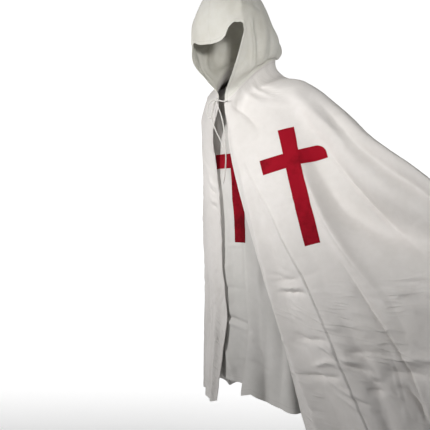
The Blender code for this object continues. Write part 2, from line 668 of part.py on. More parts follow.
Cord = namedtuple("Cord", "name route")
TIE_KNOT = ((-0.0150, -0.1630, 0.0100), (0.0075, 0.0050, 0.0062))  # its centre and its half sizes
TIE_CORDS = (
    Cord("tie_bar", (
        (0.0270, -0.1575, 0.0060), (0.0180, -0.1605, 0.0040), (0.0060, -0.1620, 0.0050),
        (-0.0070, -0.1630, 0.0085),
    )),
    Cord("tie_end_long", (
        (-0.0110, -0.1665, 0.0030), (-0.0060, -0.1690, -0.0080), (0.0020, -0.1690, -0.0240),
        (0.0090, -0.1685, -0.0400), (0.0150, -0.1675, -0.0600), (0.0190, -0.1650, -0.0870),
        (0.0205, -0.1620, -0.1200), (0.0205, -0.1595, -0.1500), (0.0190, -0.1570, -0.1760),
        (0.0135, -0.1540, -0.2080), (0.0060, -0.1510, -0.2350), (0.0010, -0.1500, -0.2520),
    )),
    Cord("tie_end_short", (
        (-0.0165, -0.1665, 0.0035), (-0.0215, -0.1680, -0.0080), (-0.0290, -0.1665, -0.0240),
        (-0.0340, -0.1645, -0.0430), (-0.0320, -0.1630, -0.0620), (-0.0220, -0.1615, -0.0850),
        (-0.0090, -0.1600, -0.1060), (0.0030, -0.1590, -0.1260), (0.0095, -0.1580, -0.1430),
    )),
    Cord("tie_loop", (
        (-0.0228, -0.1650, 0.0105), (-0.0300, -0.1690, 0.0090), (-0.0390, -0.1720, 0.0010),
        (-0.0475, -0.1720, -0.0130), (-0.0500, -0.1710, -0.0290), (-0.0440, -0.1720, -0.0430),
        (-0.0340, -0.1750, -0.0470), (-0.0260, -0.1765, -0.0360), (-0.0215, -0.1755, -0.0180),
        (-0.0190, -0.1725, -0.0020), (-0.0175, -0.1695, 0.0060),
    )),
)
CORD_STEP = 2.5  # diameters between the points of a cord
KNOT_CELLS = (12, 6)  # round it and from top to bottom


def add_cord(cord, looks):
    """A round cord along a smooth curve through its route."""
    route = np.array(cord.route)
    length = np.linalg.norm(np.diff(route, axis=0), axis=1).sum()
    count = max(4, round(length / (CORD_STEP * CORD_DIAMETER)))
    points = along(route, np.linspace(0, 1, count + 1))
    curve = bpy.data.curves.new(cord.name, "CURVE")
    curve.dimensions = "3D"
    curve.bevel_depth = CORD_DIAMETER / 2
    curve.bevel_resolution = 2
    curve.use_fill_caps = True
    spline = curve.splines.new("POLY")
    spline.points.add(len(points) - 1)
    for point, place in zip(spline.points, points):
        point.co = (*place, 1.0)
    curve.materials.append(looks)
    piece = bpy.data.objects.new(cord.name, curve)
    bpy.context.scene.collection.objects.link(piece)
    return piece


def add_knot(looks):
    """The knot of the tie: a small round lump, flatter front to back."""
    centre, sizes = TIE_KNOT
    columns, rows = KNOT_CELLS
    points = [(0.0, 0.0, 1.0)]
    for j in range(1, rows):
        tilt = math.pi * j / rows
        for i in range(columns):
            turn = 2 * math.pi * i / columns
            points.append((math.sin(tilt) * math.cos(turn), math.sin(tilt) * math.sin(turn), math.cos(tilt)))
    points.append((0.0, 0.0, -1.0))
    last = len(points) - 1
    faces = []
    for i in range(columns):
        after = (i + 1) % columns
        faces.append((0, 1 + i, 1 + after))
        faces.append((last, last - columns + after, last - columns + i))
        for j in range(rows - 2):
            upper, lower = 1 + j * columns, 1 + (j + 1) * columns
            faces.append((upper + i, lower + i, lower + after, upper + after))
    mesh = bpy.data.meshes.new("tie_knot")
    placed = np.array(points) * sizes + centre
    mesh.from_pydata([tuple(point) for point in placed], [], faces)
    mesh.shade_smooth()
    mesh.materials.append(looks)
    piece = bpy.data.objects.new("tie_knot", mesh)
    bpy.context.scene.collection.objects.link(piece)
    return piece


# ---------------------------------------------------------------------------------- the whole thing


def clear_scene():
    """Removes whatever a new file holds."""
    for piece in list(bpy.data.objects):
        bpy.data.objects.remove(piece, do_unlink=True)


def mantle_and_hood():
    """The sheets of the mantle and of the hood, with the neck seam in common."""
    cuts = [MANTLE_PANELS[0].first_cut]
    for panel in MANTLE_PANELS:
        cuts += list(np.linspace(panel.first_cut, panel.last_cut, panel.cells + 1)[1:])
    grid = mantle_grid(cuts)
    # Between two columns of the hood, the mantle's neck edge is straight, as the hood's edge is.
    grid[1:-1:2, 0] = (grid[0:-2:2, 0] + grid[2::2, 0]) / 2
    sheets, first = [], 0
    for panel in MANTLE_PANELS:
        sheets.append(sheet_of_grid(panel.name, grid[first : first + panel.cells + 1], midway=True))
        first += panel.cells
    nape = MANTLE_PANELS[0].cells + MANTLE_PANELS[1].cells
    left = hood_grid(HOOD_LEFT, grid[0 : nape + 1 : 2, 0])
    right = hood_grid(HOOD_RIGHT, grid[nape::2, 0][::-1])
    sheets.append(sheet_of_grid("hood_left", left, turned=True))
    sheets.append(sheet_of_grid("hood_right", right))
    share_normals(sheets)
    pull_seams(sheets)
    return sheets


def surcoat_panel(side):
    """The front or back panel of the surcoat. The front one has the riding slit."""
    shares = np.linspace(-1, 1, SURCOAT_CELLS + 1)
    grid = np.stack([surcoat_column(side, share) for share in shares])
    columns, rows = grid.shape[:2]
    number = np.arange(columns * rows).reshape(columns, rows)
    points = grid.reshape(-1, 3)
    if side == "back":
        return sheet_of_grid("surcoat_back", grid)
    middle = SURCOAT_CELLS // 2
    for i in range(middle + 1):
        for j in range(SLIT_TOP_ROW):
            fall = (1 - j / SLIT_TOP_ROW) * (i / middle) ** 2
            points[number[i, j]] += [0, SLIT_STEP_BACK * fall, 0]
    left_copy = []
    for j in range(SLIT_TOP_ROW):
        fall = 1 - j / SLIT_TOP_ROW
        edge = points[number[middle, j]].copy()
        left_copy.append(edge + [SLIT_GAP / 2, -SLIT_STEP_BACK * fall, -SLIT_HEM_DROP * fall])
        points[number[middle, j]] = edge - [SLIT_GAP / 2, 0, 0]
    points = np.concatenate([points, left_copy])
    left = number[middle:].copy()
    left[0, :SLIT_TOP_ROW] = columns * rows + np.arange(SLIT_TOP_ROW)
    triangles = grid_triangles(points, number[: middle + 1]) + grid_triangles(points, left)
    return Sheet("surcoat_front", points, [(a, c, b) for a, b, c in triangles])


def surcoat():
    sheets = [surcoat_panel("front"), surcoat_panel("back")]
    share_normals(sheets)
    pull_seams(sheets)
    return sheets


def main():
    clear_scene()
    white = material("mantle_cloth", WHITE_COTTON, CLOTH_ROUGHNESS)
    grey = material("surcoat_cloth", GREY_WHITE_COTTON, CLOTH_ROUGHNESS)
    red = material("cross_cloth", CRIMSON, CROSS_ROUGHNESS)
    cord_white = material("tie_cord", CORD_WHITE, CORD_ROUGHNESS)
    outer, inner = mantle_and_hood(), surcoat()
    for sheet in outer:
        add_wall(sheet, -WALL / 2, WALL / 2, white)
    for sheet in inner:
        add_wall(sheet, -WALL / 2, WALL / 2, grey)
    near = WALL / 2 + APPLIQUE_GAP
    for cross, panel in ((MANTLE_CROSS, outer[0]), (SURCOAT_CROSS, inner[0])):
        add_wall(cross_sheet(cross, panel), near, near + APPLIQUE_WALL, red)
    for cord in TIE_CORDS:
        add_cord(cord, cord_white)
    add_knot(cord_white)


main()
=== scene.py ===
"""The cloth of a hooded mantle worn open over a surcoat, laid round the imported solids, with its stage."""

import math
from collections import namedtuple

import bpy
import numpy as np
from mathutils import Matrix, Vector
from mathutils.bvhtree import BVHTree


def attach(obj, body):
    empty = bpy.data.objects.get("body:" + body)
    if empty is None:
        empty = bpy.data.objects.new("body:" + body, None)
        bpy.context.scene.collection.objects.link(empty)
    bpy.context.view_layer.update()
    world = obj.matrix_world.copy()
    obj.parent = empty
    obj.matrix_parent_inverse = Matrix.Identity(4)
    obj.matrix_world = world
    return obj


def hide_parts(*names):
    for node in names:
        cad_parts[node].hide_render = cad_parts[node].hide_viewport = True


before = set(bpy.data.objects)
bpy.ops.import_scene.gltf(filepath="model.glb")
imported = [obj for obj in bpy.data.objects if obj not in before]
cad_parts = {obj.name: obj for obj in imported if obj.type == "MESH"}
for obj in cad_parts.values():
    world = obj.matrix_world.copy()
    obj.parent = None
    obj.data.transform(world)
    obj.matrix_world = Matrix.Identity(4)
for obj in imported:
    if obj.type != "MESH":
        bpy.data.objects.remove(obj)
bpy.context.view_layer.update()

# The tables of points, widths and heights below are in millimetres.
MM = 1000  # in a metre


def in_metres(rows):
    """Rows of millimetres, in metres."""
    return tuple(tuple(value / MM for value in row) for row in rows)


def add_object(name, data):
    """A new object in the scene."""
    made = bpy.data.objects.new(name, data)
    bpy.context.scene.collection.objects.link(made)
    return made


# --- the camera

CAMERA_PLACE = (1.525, -1.690, -0.189)
CAMERA_YAW = 45.40  # degrees from +Y towards -X
CAMERA_PITCH = -4.32
CAMERA_LENS = 57.2
CAMERA_SENSOR = 36.0  # mm wide


def add_camera():
    lens = bpy.data.cameras.new("camera")
    lens.lens = CAMERA_LENS
    lens.sensor_width = CAMERA_SENSOR
    camera = add_object("camera", lens)
    camera.location = CAMERA_PLACE
    camera.rotation_euler = (math.radians(90 + CAMERA_PITCH), 0.0, math.radians(CAMERA_YAW))
    bpy.context.scene.camera = camera


# --- curves and noise

CURVE_SAMPLES = 400
LATTICE = 64
LATTICE_START = 200.0


def smooth(places, values, at):
    """The values at some places of the smooth curve through values at the given places."""
    places, values, at = (np.asarray(item, float) for item in (places, values, at))
    slopes = np.gradient(values, places, axis=0)
    k = np.clip(np.searchsorted(places, at, side="right") - 1, 0, len(places) - 2)
    step = (places[k + 1] - places[k]).reshape(-1, *[1] * (values.ndim - 1))
    t = (at - places[k]).reshape(step.shape) / step
    rise = t * t * (3 - 2 * t)
    first = t * (1 - t) ** 2 * step
    last = t * t * (t - 1) * step
    return (1 - rise) * values[k] + rise * values[k + 1] + first * slopes[k] + last * slopes[k + 1]


def run_along(points, axis=0):
    """How far each point lies from the first one, step by step along an axis of the points."""
    steps = np.linalg.norm(np.diff(points, axis=axis), axis=-1)
    start = np.zeros_like(np.take(steps, [0], axis=axis))
    return np.concatenate([start, np.cumsum(steps, axis=axis)], axis=axis)


def along(points, shares):
    """Points at the given shares of the length of the smooth curve through some points."""
    points = np.asarray(points, float)
    chords = run_along(points)
    fine = smooth(chords, points, np.linspace(0, chords[-1], CURVE_SAMPLES))
    lengths = run_along(fine)
    wanted = np.asarray(shares) * lengths[-1]
    return np.stack([np.interp(wanted, lengths, fine[:, axis]) for axis in range(3)], axis=1)


def ease(value):
    """0 below 0, 1 above 1 and a soft rise between."""
    value = np.clip(value, 0, 1)
    return value * value * (3 - 2 * value)


def noise(places, size, seed):
    """Soft random hills from -1 to 1, one in each square of a size, at some flat places."""
    lattice = np.random.default_rng(seed).uniform(-1, 1, (LATTICE, LATTICE))
    spot = np.asarray(places) / size + LATTICE_START
    cell = np.floor(spot).astype(int)
    x, y = (ease(spot[..., axis] - cell[..., axis]) for axis in (0, 1))
    i, j = cell[..., 0] % LATTICE, cell[..., 1] % LATTICE
    after_i, after_j = (i + 1) % LATTICE, (j + 1) % LATTICE
    low = lattice[i, j] * (1 - x) + lattice[after_i, j] * x
    high = lattice[i, after_j] * (1 - x) + lattice[after_i, after_j] * x
    return low * (1 - y) + high * y


def ripples(places, layers):
    """Soft hills in layers, each given as its height, the size of its hills and its seed."""
    return sum(height * noise(places, size, seed) for height, size, seed in layers)


# --- the neck tie

CORD_DIAMETER = 0.004
Cord = namedtuple("Cord", "name length far_end lay route")  # the length is in metres
TIE_CORDS = [Cord(*row[:4], in_metres(row[4:])) for row in (
    ("tie_bar", 0.035, "object", "taut", (27, -157.5, 6), (18, -160.5, 4), (6, -162, 5), (-7, -163, 8.5)),
    ("tie_end_long", 0.264, "bare", "hanging",
     (-11, -166.5, 3), (-6, -169, -8), (2, -169, -24), (9, -168.5, -40), (15, -167.5, -60), (19, -165, -87),
     (20.5, -162, -120), (20.5, -159.5, -150), (19, -157, -176), (13.5, -154, -208), (6, -151, -235),
     (1, -150, -252)),
    ("tie_end_short", 0.163, "bare", "hanging",
     (-16.5, -166.5, 3.5), (-21.5, -168, -8), (-29, -166.5, -24), (-34, -164.5, -43), (-32, -163, -62),
     (-22, -161.5, -85), (-9, -160, -106), (3, -159, -126), (9.5, -158, -143)),
    ("tie_loop", 0.137, "object", "hanging",
     (-22.8, -165, 10.5), (-30, -169, 9), (-39, -172, 1), (-47.5, -172, -13), (-50, -171, -29),
     (-44, -172, -43), (-34, -175, -47), (-26, -176.5, -36), (-21.5, -175.5, -18), (-19, -172.5, -2),
     (-17.5, -169.5, 6)),
)]
CORD_POINT_STEP = 0.003
KNOT_CENTRE = (-0.0150, -0.1630, 0.0100)
KNOT_SIZES = (0.0075, 0.0050, 0.0062)
# The strand of the knot, in shares of its half sizes: over the front, round the back and through.
KNOT_STRAND = (
    (0.95, -0.1, 0.15), (0.45, -0.85, 0.5), (-0.35, -0.9, 0.45), (-0.8, -0.1, 0.35), (-0.45, 0.75, 0),
    (0.35, 0.75, -0.2), (0.8, 0.05, -0.35), (0.4, -0.8, -0.4), (-0.3, -1, -0.2), (-0.75, -0.55, 0.3),
    (-0.7, 0.3, 0.6), (0, 0.75, 0.55), (0.65, 0.25, 0.45), (0.45, -0.6, -0.05), (0, -0.9, -0.6),
    (-0.35, -0.55, -0.85),
)
KNOT_SHRINK = 0.8
KNOT_POINTS = 90
KNOT_STRAND_RADIUS = 0.0018


def strand(name, points, radius, looks):
    """A round strand through some points, as a curve object."""
    curve = bpy.data.curves.new(name, "CURVE")
    curve.dimensions = "3D"
    curve.bevel_depth = radius
    curve.bevel_resolution = 3
    curve.use_fill_caps = True
    spline = curve.splines.new("POLY")
    spline.points.add(len(points) - 1)
    for point, place in zip(spline.points, points):
        point.co = (*place, 1.0)
    spline.use_smooth = True
    curve.materials.append(looks)
    return add_object(name, curve)


def settle(piece, slot, *nodes):
    """Hangs a new piece on the root and hides the imported parts it takes the place of. slot is not used."""
    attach(piece, "root")
    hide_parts(*nodes)


def add_tie(looks):
    for cord in TIE_CORDS:
        route = np.array(cord.route)
        count = round(run_along(route)[-1] / CORD_POINT_STEP)
        points = along(route, np.linspace(0, 1, count + 1))
        piece = strand("cloth_" + cord.name, points, CORD_DIAMETER / 2, looks)
        settle(piece, "tie_cord", cord.name)
    stops = np.array(KNOT_STRAND) * KNOT_SHRINK * KNOT_SIZES + KNOT_CENTRE
    points = along(stops, np.linspace(0, 1, KNOT_POINTS))
    settle(strand("cloth_tie_knot", points, KNOT_STRAND_RADIUS, looks), "tie_cord", "tie_knot")


# --- materials


def new_material(name, colour, roughness, sheen=0.0, specular=0.3):
    made = bpy.data.materials.new(name)
    made.use_nodes = True
    shader = made.node_tree.nodes["Principled BSDF"]
    shader.inputs["Base Color"].default_value = (*colour, 1.0)
    shader.inputs["Roughness"].default_value = roughness
    shader.inputs["Sheen Weight"].default_value = sheen
    shader.inputs["Sheen Roughness"].default_value = 0.5
    shader.inputs["Specular IOR Level"].default_value = specular
    made.diffuse_color = (*colour, 1.0)
    return made


class Graph:
    """Short calls for a material's nodes. body is the place on the object."""

    def __init__(self, made):
        self.nodes = made.node_tree.nodes
        self.links = made.node_tree.links
        self.shader = self.nodes["Principled BSDF"]
        self.body = self.add("ShaderNodeTexCoord").outputs["Object"]

    def add(self, kind, inputs=(), **settings):
        node = self.nodes.new(kind)
        for name, value in settings.items():
            setattr(node, name, value)
        for socket, value in dict(inputs).items():
            if isinstance(value, bpy.types.NodeSocket):
                self.links.new(value, node.inputs[socket])
            else:
                node.inputs[socket].default_value = value
        return node

    def math(self, operation, first, second=0.0, third=0.0):
        made = self.add("ShaderNodeMath", {0: first, 1: second, 2: third}, operation=operation)
        return made.outputs[0]

    def times(self, first, *others):
        """The product of some values."""
        for other in others:
            first = self.math("MULTIPLY", first, other)
        return first

    def blend(self, first, share, rest):
        """first times share, plus the rest."""
        return self.math("MULTIPLY_ADD", first, share, rest)

    def turned(self, first, second, angle):
        """Two values in axes turned by an angle in degrees: what lies across it and along it."""
        sine, cosine = math.sin(math.radians(angle)), math.cos(math.radians(angle))
        across = self.blend(second, -sine, self.times(first, cosine))
        return across, self.blend(second, cosine, self.times(first, sine))

    def radius(self, x, y):
        return self.math("SQRT", self.blend(y, y, self.times(x, x)))

    def tent(self, value, half_width):
        """1 where a value is 0, falling to 0 at the half width on both sides."""
        slope = self.blend(self.math("ABSOLUTE", value), -1 / half_width, 1.0)
        return self.math("MAXIMUM", slope, 0.0)

    def fade(self, value, low, high):
        """0 where a value is at low, 1 where it is at high, smooth between."""
        inputs = {"Value": value, "From Min": low, "From Max": high}
        return self.add("ShaderNodeMapRange", inputs, interpolation_type="SMOOTHSTEP").outputs[0]

    def noise(self, vector, scale, detail=2.0):
        inputs = {"Vector": vector, "Scale": scale, "Detail": detail}
        return self.add("ShaderNodeTexNoise", inputs).outputs["Fac"]

    def patches(self, slow, fine):
        """A slow and a fine noise over the body, mixed. Each is given as its scale and detail."""
        fine, slow = (self.noise(self.body, *layer) for layer in (fine, slow))
        return self.blend(fine, FINE_SHARE, self.times(slow, 1 - FINE_SHARE))

    def mix(self, share, first, second):
        """first where share is 0, second where it is 1."""
        inputs = {0: share, 6: first, 7: second}
        return self.add("ShaderNodeMix", inputs, data_type="RGBA").outputs[2]

    def shade(self, value, low, high, dark, light):
        """A colour that goes from dark to light as a value goes from low to high."""
        ramp = self.add("ShaderNodeValToRGB", {0: value})
        first, last = ramp.color_ramp.elements
        first.position, first.color = low, (*dark, 1.0)
        last.position, last.color = high, (*light, 1.0)
        return ramp.outputs["Color"]

    def cut(self):
        """The place on the flat cut, as a vector and as its parts."""
        vector = self.add("ShaderNodeUVMap", uv_map="cut").outputs["UV"]
        return vector, self.add("ShaderNodeSeparateXYZ", {0: vector}).outputs

    def weave(self, split, height):
        """The height of a plain weave."""
        turns = 2 * math.pi / WEAVE_PERIOD
        warp, weft = (self.math("SINE", self.times(split[axis], turns)) for axis in (0, 1))
        return self.times(warp, weft, height)

    def finish(self, colour, height, strength, distance, under=None):
        """Wire up the colour and the bumps. under is a coarse height in metres below the fine bump."""
        inputs = {"Height": height, "Strength": strength, "Distance": distance}
        if under is not None:
            coarse = self.add("ShaderNodeBump", {"Height": under, "Strength": 1.0, "Distance": 1.0})
            inputs["Normal"] = coarse.outputs["Normal"]
        bump = self.add("ShaderNodeBump", inputs)
        self.links.new(colour, self.shader.inputs["Base Color"])
        self.links.new(bump.outputs["Normal"], self.shader.inputs["Normal"])


FINE_SHARE = 0.3  # of the fine noise in the patches of a colour
WEAVE_PERIOD = 0.0018
THREAD_HALF_WIDTH = 0.0010
THREAD_GAP = 0.28
THREAD_GREY = (0.42, 0.40, 0.37, 1.0)
THREAD_DEPTH = -2.2
THREAD_SHARE = 0.42  # how much of the colour is the thread's
HOLE_SHARE = 0.55  # how strong a row is between its stitches
STITCH_LENGTH = 0.0040
SLUB_SCALES = (700.0, 60.0)  # across a thicker thread and along it
SLUB_HEIGHT = 0.9
SLUB_TINT = (0.10, -0.04)  # how much darker it is, and what is taken off that
CLOTH_PATCHES = ((6.0, 3.0), (55.0, 4.0))  # the scale and the detail of the slow and the fine ones
CLOTH_RAMP = (0.36, 0.60)
CLOTH_WEAVE = 0.45
CLOTH_BUMP = (0.35, 0.00035)  # strength and distance, for each of the materials

CRUMPLE_TURN = 66  # degrees off the ribs of the flat cut: the packed-in lines lie level when it is worn
CRUMPLE_SCALE = (6.0, 36.0)  # per metre, along the lines and across them
CRUMPLE_WIDTH = 1 / 8  # in steps of the noise
CRUMPLE_RADII = (0.76, 0.98)  # of the flat cut, where the lines fade in
CRUMPLE_HIGH_UP = 0.2  # how strong they are above that
CRUMPLE_PATCHES = (9.0, 2.0)
CRUMPLE_PATCH_EDGE = (0.44, 0.66)


def crumpled(graph, split, height):
    """The heights of the fine lines packed into the cloth, in patches, mostly low down."""
    radius = graph.radius(split[0], split[1])
    turn = graph.math("ARCTAN2", split[0], split[1])
    across, run = graph.turned(turn, radius, CRUMPLE_TURN)
    scaled = [graph.times(value, scale) for value, scale in zip((run, across), CRUMPLE_SCALE)]
    vector = graph.add("ShaderNodeCombineXYZ", {0: scaled[0], 1: scaled[1]}).outputs[0]
    line = graph.tent(graph.math("SUBTRACT", graph.noise(vector, 1.0, 1.5), 0.5), CRUMPLE_WIDTH)
    low = graph.blend(graph.fade(radius, *CRUMPLE_RADII), 1 - CRUMPLE_HIGH_UP, CRUMPLE_HIGH_UP)
    patch = graph.fade(graph.noise(graph.body, *CRUMPLE_PATCHES), *CRUMPLE_PATCH_EDGE)
    return graph.times(line, line, low, patch, height)


def stitched(graph, split, colour, height, lines, arcs):
    """A cloth's colour and height with its rows of stitches. A line is an angle and an offset on the
    flat cut, an arc is a radius."""
    rows = []
    for angle, offset in lines:
        aside, run = graph.turned(split[0], split[1], angle)
        rows.append((graph.math("SUBTRACT", aside, offset), run))
    for radius in arcs:
        aside = graph.math("SUBTRACT", graph.radius(split[0], split[1]), radius)
        rows.append((aside, graph.times(graph.math("ARCTAN2", split[0], split[1]), radius)))
    for aside, run in rows:
        turn = graph.math("FRACT", graph.times(run, 1 / STITCH_LENGTH))
        thread = graph.math("GREATER_THAN", turn, THREAD_GAP)
        strength = graph.blend(thread, 1 - HOLE_SHARE, HOLE_SHARE)
        seam = graph.times(graph.tent(aside, THREAD_HALF_WIDTH), strength)
        height = graph.blend(seam, THREAD_DEPTH, height)
        colour = graph.mix(graph.times(seam, THREAD_SHARE), colour, THREAD_GREY)
    return colour, height


def cloth_material(name, light, dark, lines=(), arcs=(), crumple=0.0):
    """Plain-woven cotton, whose colour wanders between light and dark, with rows of stitches."""
    made = new_material(name, light, roughness=0.82, sheen=0.10)
    graph = Graph(made)
    cut, split = graph.cut()
    colour = graph.shade(graph.patches(*CLOTH_PATCHES), *CLOTH_RAMP, dark, light)
    slubs = []
    for scales in (SLUB_SCALES, SLUB_SCALES[::-1]):
        threads = graph.add("ShaderNodeMapping", {0: cut, 3: (*scales, 1.0)}).outputs[0]
        slubs.append(graph.noise(threads, 1.0))
    slub = graph.math("ADD", *slubs)
    height = graph.blend(slub, SLUB_HEIGHT, graph.weave(split, CLOTH_WEAVE))
    colour = graph.mix(graph.blend(slub, *SLUB_TINT), colour, (*dark, 1.0))
    colour, height = stitched(graph, split, colour, height, lines, arcs)
    under = crumpled(graph, split, crumple) if crumple else None
    graph.finish(colour, height, *CLOTH_BUMP, under)
    return made


TWIST_SCALE = 180.0
TWIST_DISTORTION = 2.0
TWIST_SHADE = 0.6
CORD_FUZZ_SCALE = 300.0
CORD_BUMP = (0.5, 0.0006)


def cord_material(name, light, dark):
    """A twisted cotton cord."""
    made = new_material(name, light, roughness=0.8, sheen=0.15)
    graph = Graph(made)
    inputs = {"Vector": graph.body, "Scale": TWIST_SCALE, "Distortion": TWIST_DISTORTION}
    twist = graph.add("ShaderNodeTexWave", inputs).outputs["Fac"]
    colour = graph.mix(graph.times(twist, TWIST_SHADE), (*light, 1.0), (*dark, 1.0))
    height = graph.math("ADD", twist, graph.noise(graph.body, CORD_FUZZ_SCALE))
    graph.finish(colour, height, *CORD_BUMP)
    return made


PAINTED_SHADE_PER_METRE = 0.9  # per metre: painted shade, the crosses grow darker towards their feet
# the height where the painted shade neither lightens nor darkens the crosses
PAINTED_SHADE_PIVOT = -0.34
CROSS_STITCHES = 0.0045  # in from the cross's edge
CROSS_THREAD_HALF_WIDTH = 0.0011
CROSS_THREAD_DEPTH = -1.8
CROSS_THREAD_SHADE = 0.45
CROSS_PATCHES = ((14.0, 2.0), (90.0, 3.0))
CROSS_RAMP = (0.35, 0.62)
CROSS_WEAVE = 0.5
CROSS_BUMP = (0.35, 0.0004)


def red_material(name, light, dark):
    """Dyed plain cotton, darker in slow patches, with painted shade that darkens it towards the bottom, and a
    row of stitches near its edge.
    """
    made = new_material(name, light, roughness=0.85, specular=0.12)
    graph = Graph(made)
    split = graph.cut()[1]
    # painted shade: the tone rises with the height, so each cross grows darker towards its foot
    mixed = graph.math("ADD", graph.patches(*CROSS_PATCHES), -PAINTED_SHADE_PER_METRE * PAINTED_SHADE_PIVOT)
    up = graph.add("ShaderNodeSeparateXYZ", {0: graph.body}).outputs[2]
    colour = graph.shade(graph.blend(up, PAINTED_SHADE_PER_METRE, mixed), *CROSS_RAMP, dark, light)
    edge = graph.add("ShaderNodeAttribute", attribute_name="edge").outputs["Fac"]
    near = graph.tent(graph.math("SUBTRACT", edge, CROSS_STITCHES), CROSS_THREAD_HALF_WIDTH)
    height = graph.blend(near, CROSS_THREAD_DEPTH, graph.weave(split, CROSS_WEAVE))
    colour = graph.mix(graph.times(near, CROSS_THREAD_SHADE), colour, (*dark, 1.0))
    graph.finish(colour, height, *CROSS_BUMP)
    return made


# --- the shells

HALF_CLOTH = 0.0006
HEM_EXTRA = 0.7  # how much thicker the turned hems are
HEM_STEP = 0.003  # over which they grow thicker
SHARP_ANGLE = 60


def hem_share(inside):
    """1 within a turned hem, 0 outside it, from how far a place lies inside its edge."""
    return ease(inside / HEM_STEP)


def point_normals(points, quads):
    """A unit normal for each point, from the faces round it."""
    corners = points[quads]
    faces = np.cross(corners[:, 2] - corners[:, 0], corners[:, 3] - corners[:, 1])
    normals = np.zeros_like(points)
    for k in range(4):
        np.add.at(normals, quads[:, k], faces)
    return normals / np.maximum(np.linalg.norm(normals, axis=1, keepdims=True), 1e-12)


def free_edges(quads):
    """The edges that only one face has, each in that face's direction."""
    edges = np.concatenate([quads[:, [k, (k + 1) % 4]] for k in range(4)])
    count = int(edges.max()) + 1
    forward = edges[:, 0].astype(np.int64) * count + edges[:, 1]
    backward = edges[:, 1].astype(np.int64) * count + edges[:, 0]
    return edges[~np.isin(forward, backward)]


def shell(name, points, normals, quads, uv, near, far, looks, edge=None):
    """The closed thin body between two distances along the points' normals. near and far are a number
    or one number for each point."""
    near, far = (np.broadcast_to(side, (len(points),))[:, None] for side in (near, far))
    both = np.concatenate([points + normals * far, points + normals * near])
    count = len(points)
    rim = free_edges(quads)
    faces = np.concatenate([
        quads,
        quads[:, ::-1] + count,
        np.stack([rim[:, 1], rim[:, 0], rim[:, 0] + count, rim[:, 1] + count], axis=1),
    ]).astype(np.int32)
    mesh = bpy.data.meshes.new(name)
    mesh.vertices.add(len(both))
    mesh.vertices.foreach_set("co", both.astype(np.float32).ravel())
    mesh.loops.add(faces.size)
    mesh.loops.foreach_set("vertex_index", faces.ravel())
    mesh.polygons.add(len(faces))
    mesh.polygons.foreach_set("loop_start", np.arange(0, faces.size, 4, dtype=np.int32))
    mesh.update(calc_edges=True)
    layer = mesh.uv_layers.new(name="cut")
    layer.data.foreach_set("uv", uv[faces.ravel() % count].astype(np.float32).ravel())
    if edge is not None:
        attribute = mesh.attributes.new("edge", "FLOAT", "POINT")
        attribute.data.foreach_set("value", np.concatenate([edge, edge]).astype(np.float32))
    mesh.shade_smooth()
    mesh.set_sharp_from_angle(angle=math.radians(SHARP_ANGLE))
    mesh.materials.append(looks)
    return add_object(name, mesh)


def point_numbers(grid):
    """The place of each of a grid's points in their list."""
    return np.arange(grid.shape[0] * grid.shape[1]).reshape(grid.shape[:2])


def grid_quads(number, turned=False):
    """The faces of a grid, from the place of each corner in the list of points."""
    a, b, c, d = number[:-1, :-1], number[1:, :-1], number[1:, 1:], number[:-1, 1:]
    quads = np.stack([a.ravel(), d.ravel(), c.ravel(), b.ravel()], axis=1)
    return quads[:, ::-1] if turned else quads


def grid_normals(grid):
    """Unit normals of a grid of points, on its outer side."""
    normals = np.cross(np.gradient(grid, axis=1), np.gradient(grid, axis=0))
    return normals / np.linalg.norm(normals, axis=2, keepdims=True)


def search_tree(points, quads):
    return BVHTree.FromPolygons([tuple(point) for point in points], [tuple(quad) for quad in quads.tolist()])


# --- the creases

# A crease: its width on the near side and on the far side, how crisp its crest is (0 is round, 1 is
# sharp), and its path: points of two places on the cloth and a height.
Crease = namedtuple("Crease", "name near far crisp path")
CREASE_REACH = 3.5  # how many widths away it still lifts the cloth
CREASE_FALL = 1.5  # how steeply it falls off
ROUND_TIP = 1.2  # how wide a round crest is, in widths
CRISP_TIP = 0.15  # how wide a crisp one is
FAR_AWAY = 1e9
PATH_SAMPLES = 4  # for each point of a path
WRINKLE_POINTS = 6
LOOSE_CRISPNESS = 0.5


def creases(units, *rows):
    """Creases from rows in the tables' units. units are those of a path's three numbers."""
    return [
        Crease(name, near / MM, far / MM, crisp, np.array(path) / units)
        for name, near, far, crisp, *path in rows
    ]


def line_height(line, heights, near, far, crisp, places):
    """How far a crease along a line lifts the cloth at some flat places."""
    reached = CREASE_REACH * max(near, far)
    low, high = line.min(axis=0) - reached, line.max(axis=0) + reached
    flat = places.reshape(-1, 2)
    chosen = np.nonzero(((flat > low) & (flat < high)).all(axis=1))[0]
    spots = flat[chosen]
    best = np.full(len(spots), FAR_AWAY)
    aside = np.zeros(len(spots))
    lift = np.zeros(len(spots))
    for k in range(len(line) - 1):
        way = line[k + 1] - line[k]
        length = np.linalg.norm(way)
        way = way / length
        off = spots - line[k]
        run = np.clip(off @ way, 0, length)
        gap = off - run[:, None] * way
        distance = np.einsum("ij,ij->i", gap, gap)
        closer = distance < best
        best = np.where(closer, distance, best)
        aside = np.where(closer, off @ np.array([way[1], -way[0]]), aside)
        lift = np.where(closer, heights[k] + (heights[k + 1] - heights[k]) * run / length, lift)
    width = near + (far - near) * ease(aside / (near + far) * 2 + 0.5)
    apart = np.sqrt(best) / width
    tip = ROUND_TIP - (ROUND_TIP - CRISP_TIP) * crisp
    found = np.zeros(len(flat))
    found[chosen] = lift * np.exp(-CREASE_FALL * (np.sqrt(apart ** 2 + tip ** 2) - tip))
    return found.reshape(places.shape[:-1])


def crease_height(crease, stops, places):
    """How far a crease lifts the cloth at some flat places. stops are its path's points on the flat cut."""
    steps = run_along(stops)
    fine = np.linspace(0, steps[-1], PATH_SAMPLES * len(stops))
    heights = np.interp(fine, steps, crease.path[:, 2])
    return line_height(smooth(steps, stops, fine), heights, crease.near, crease.far, crease.crisp, places)


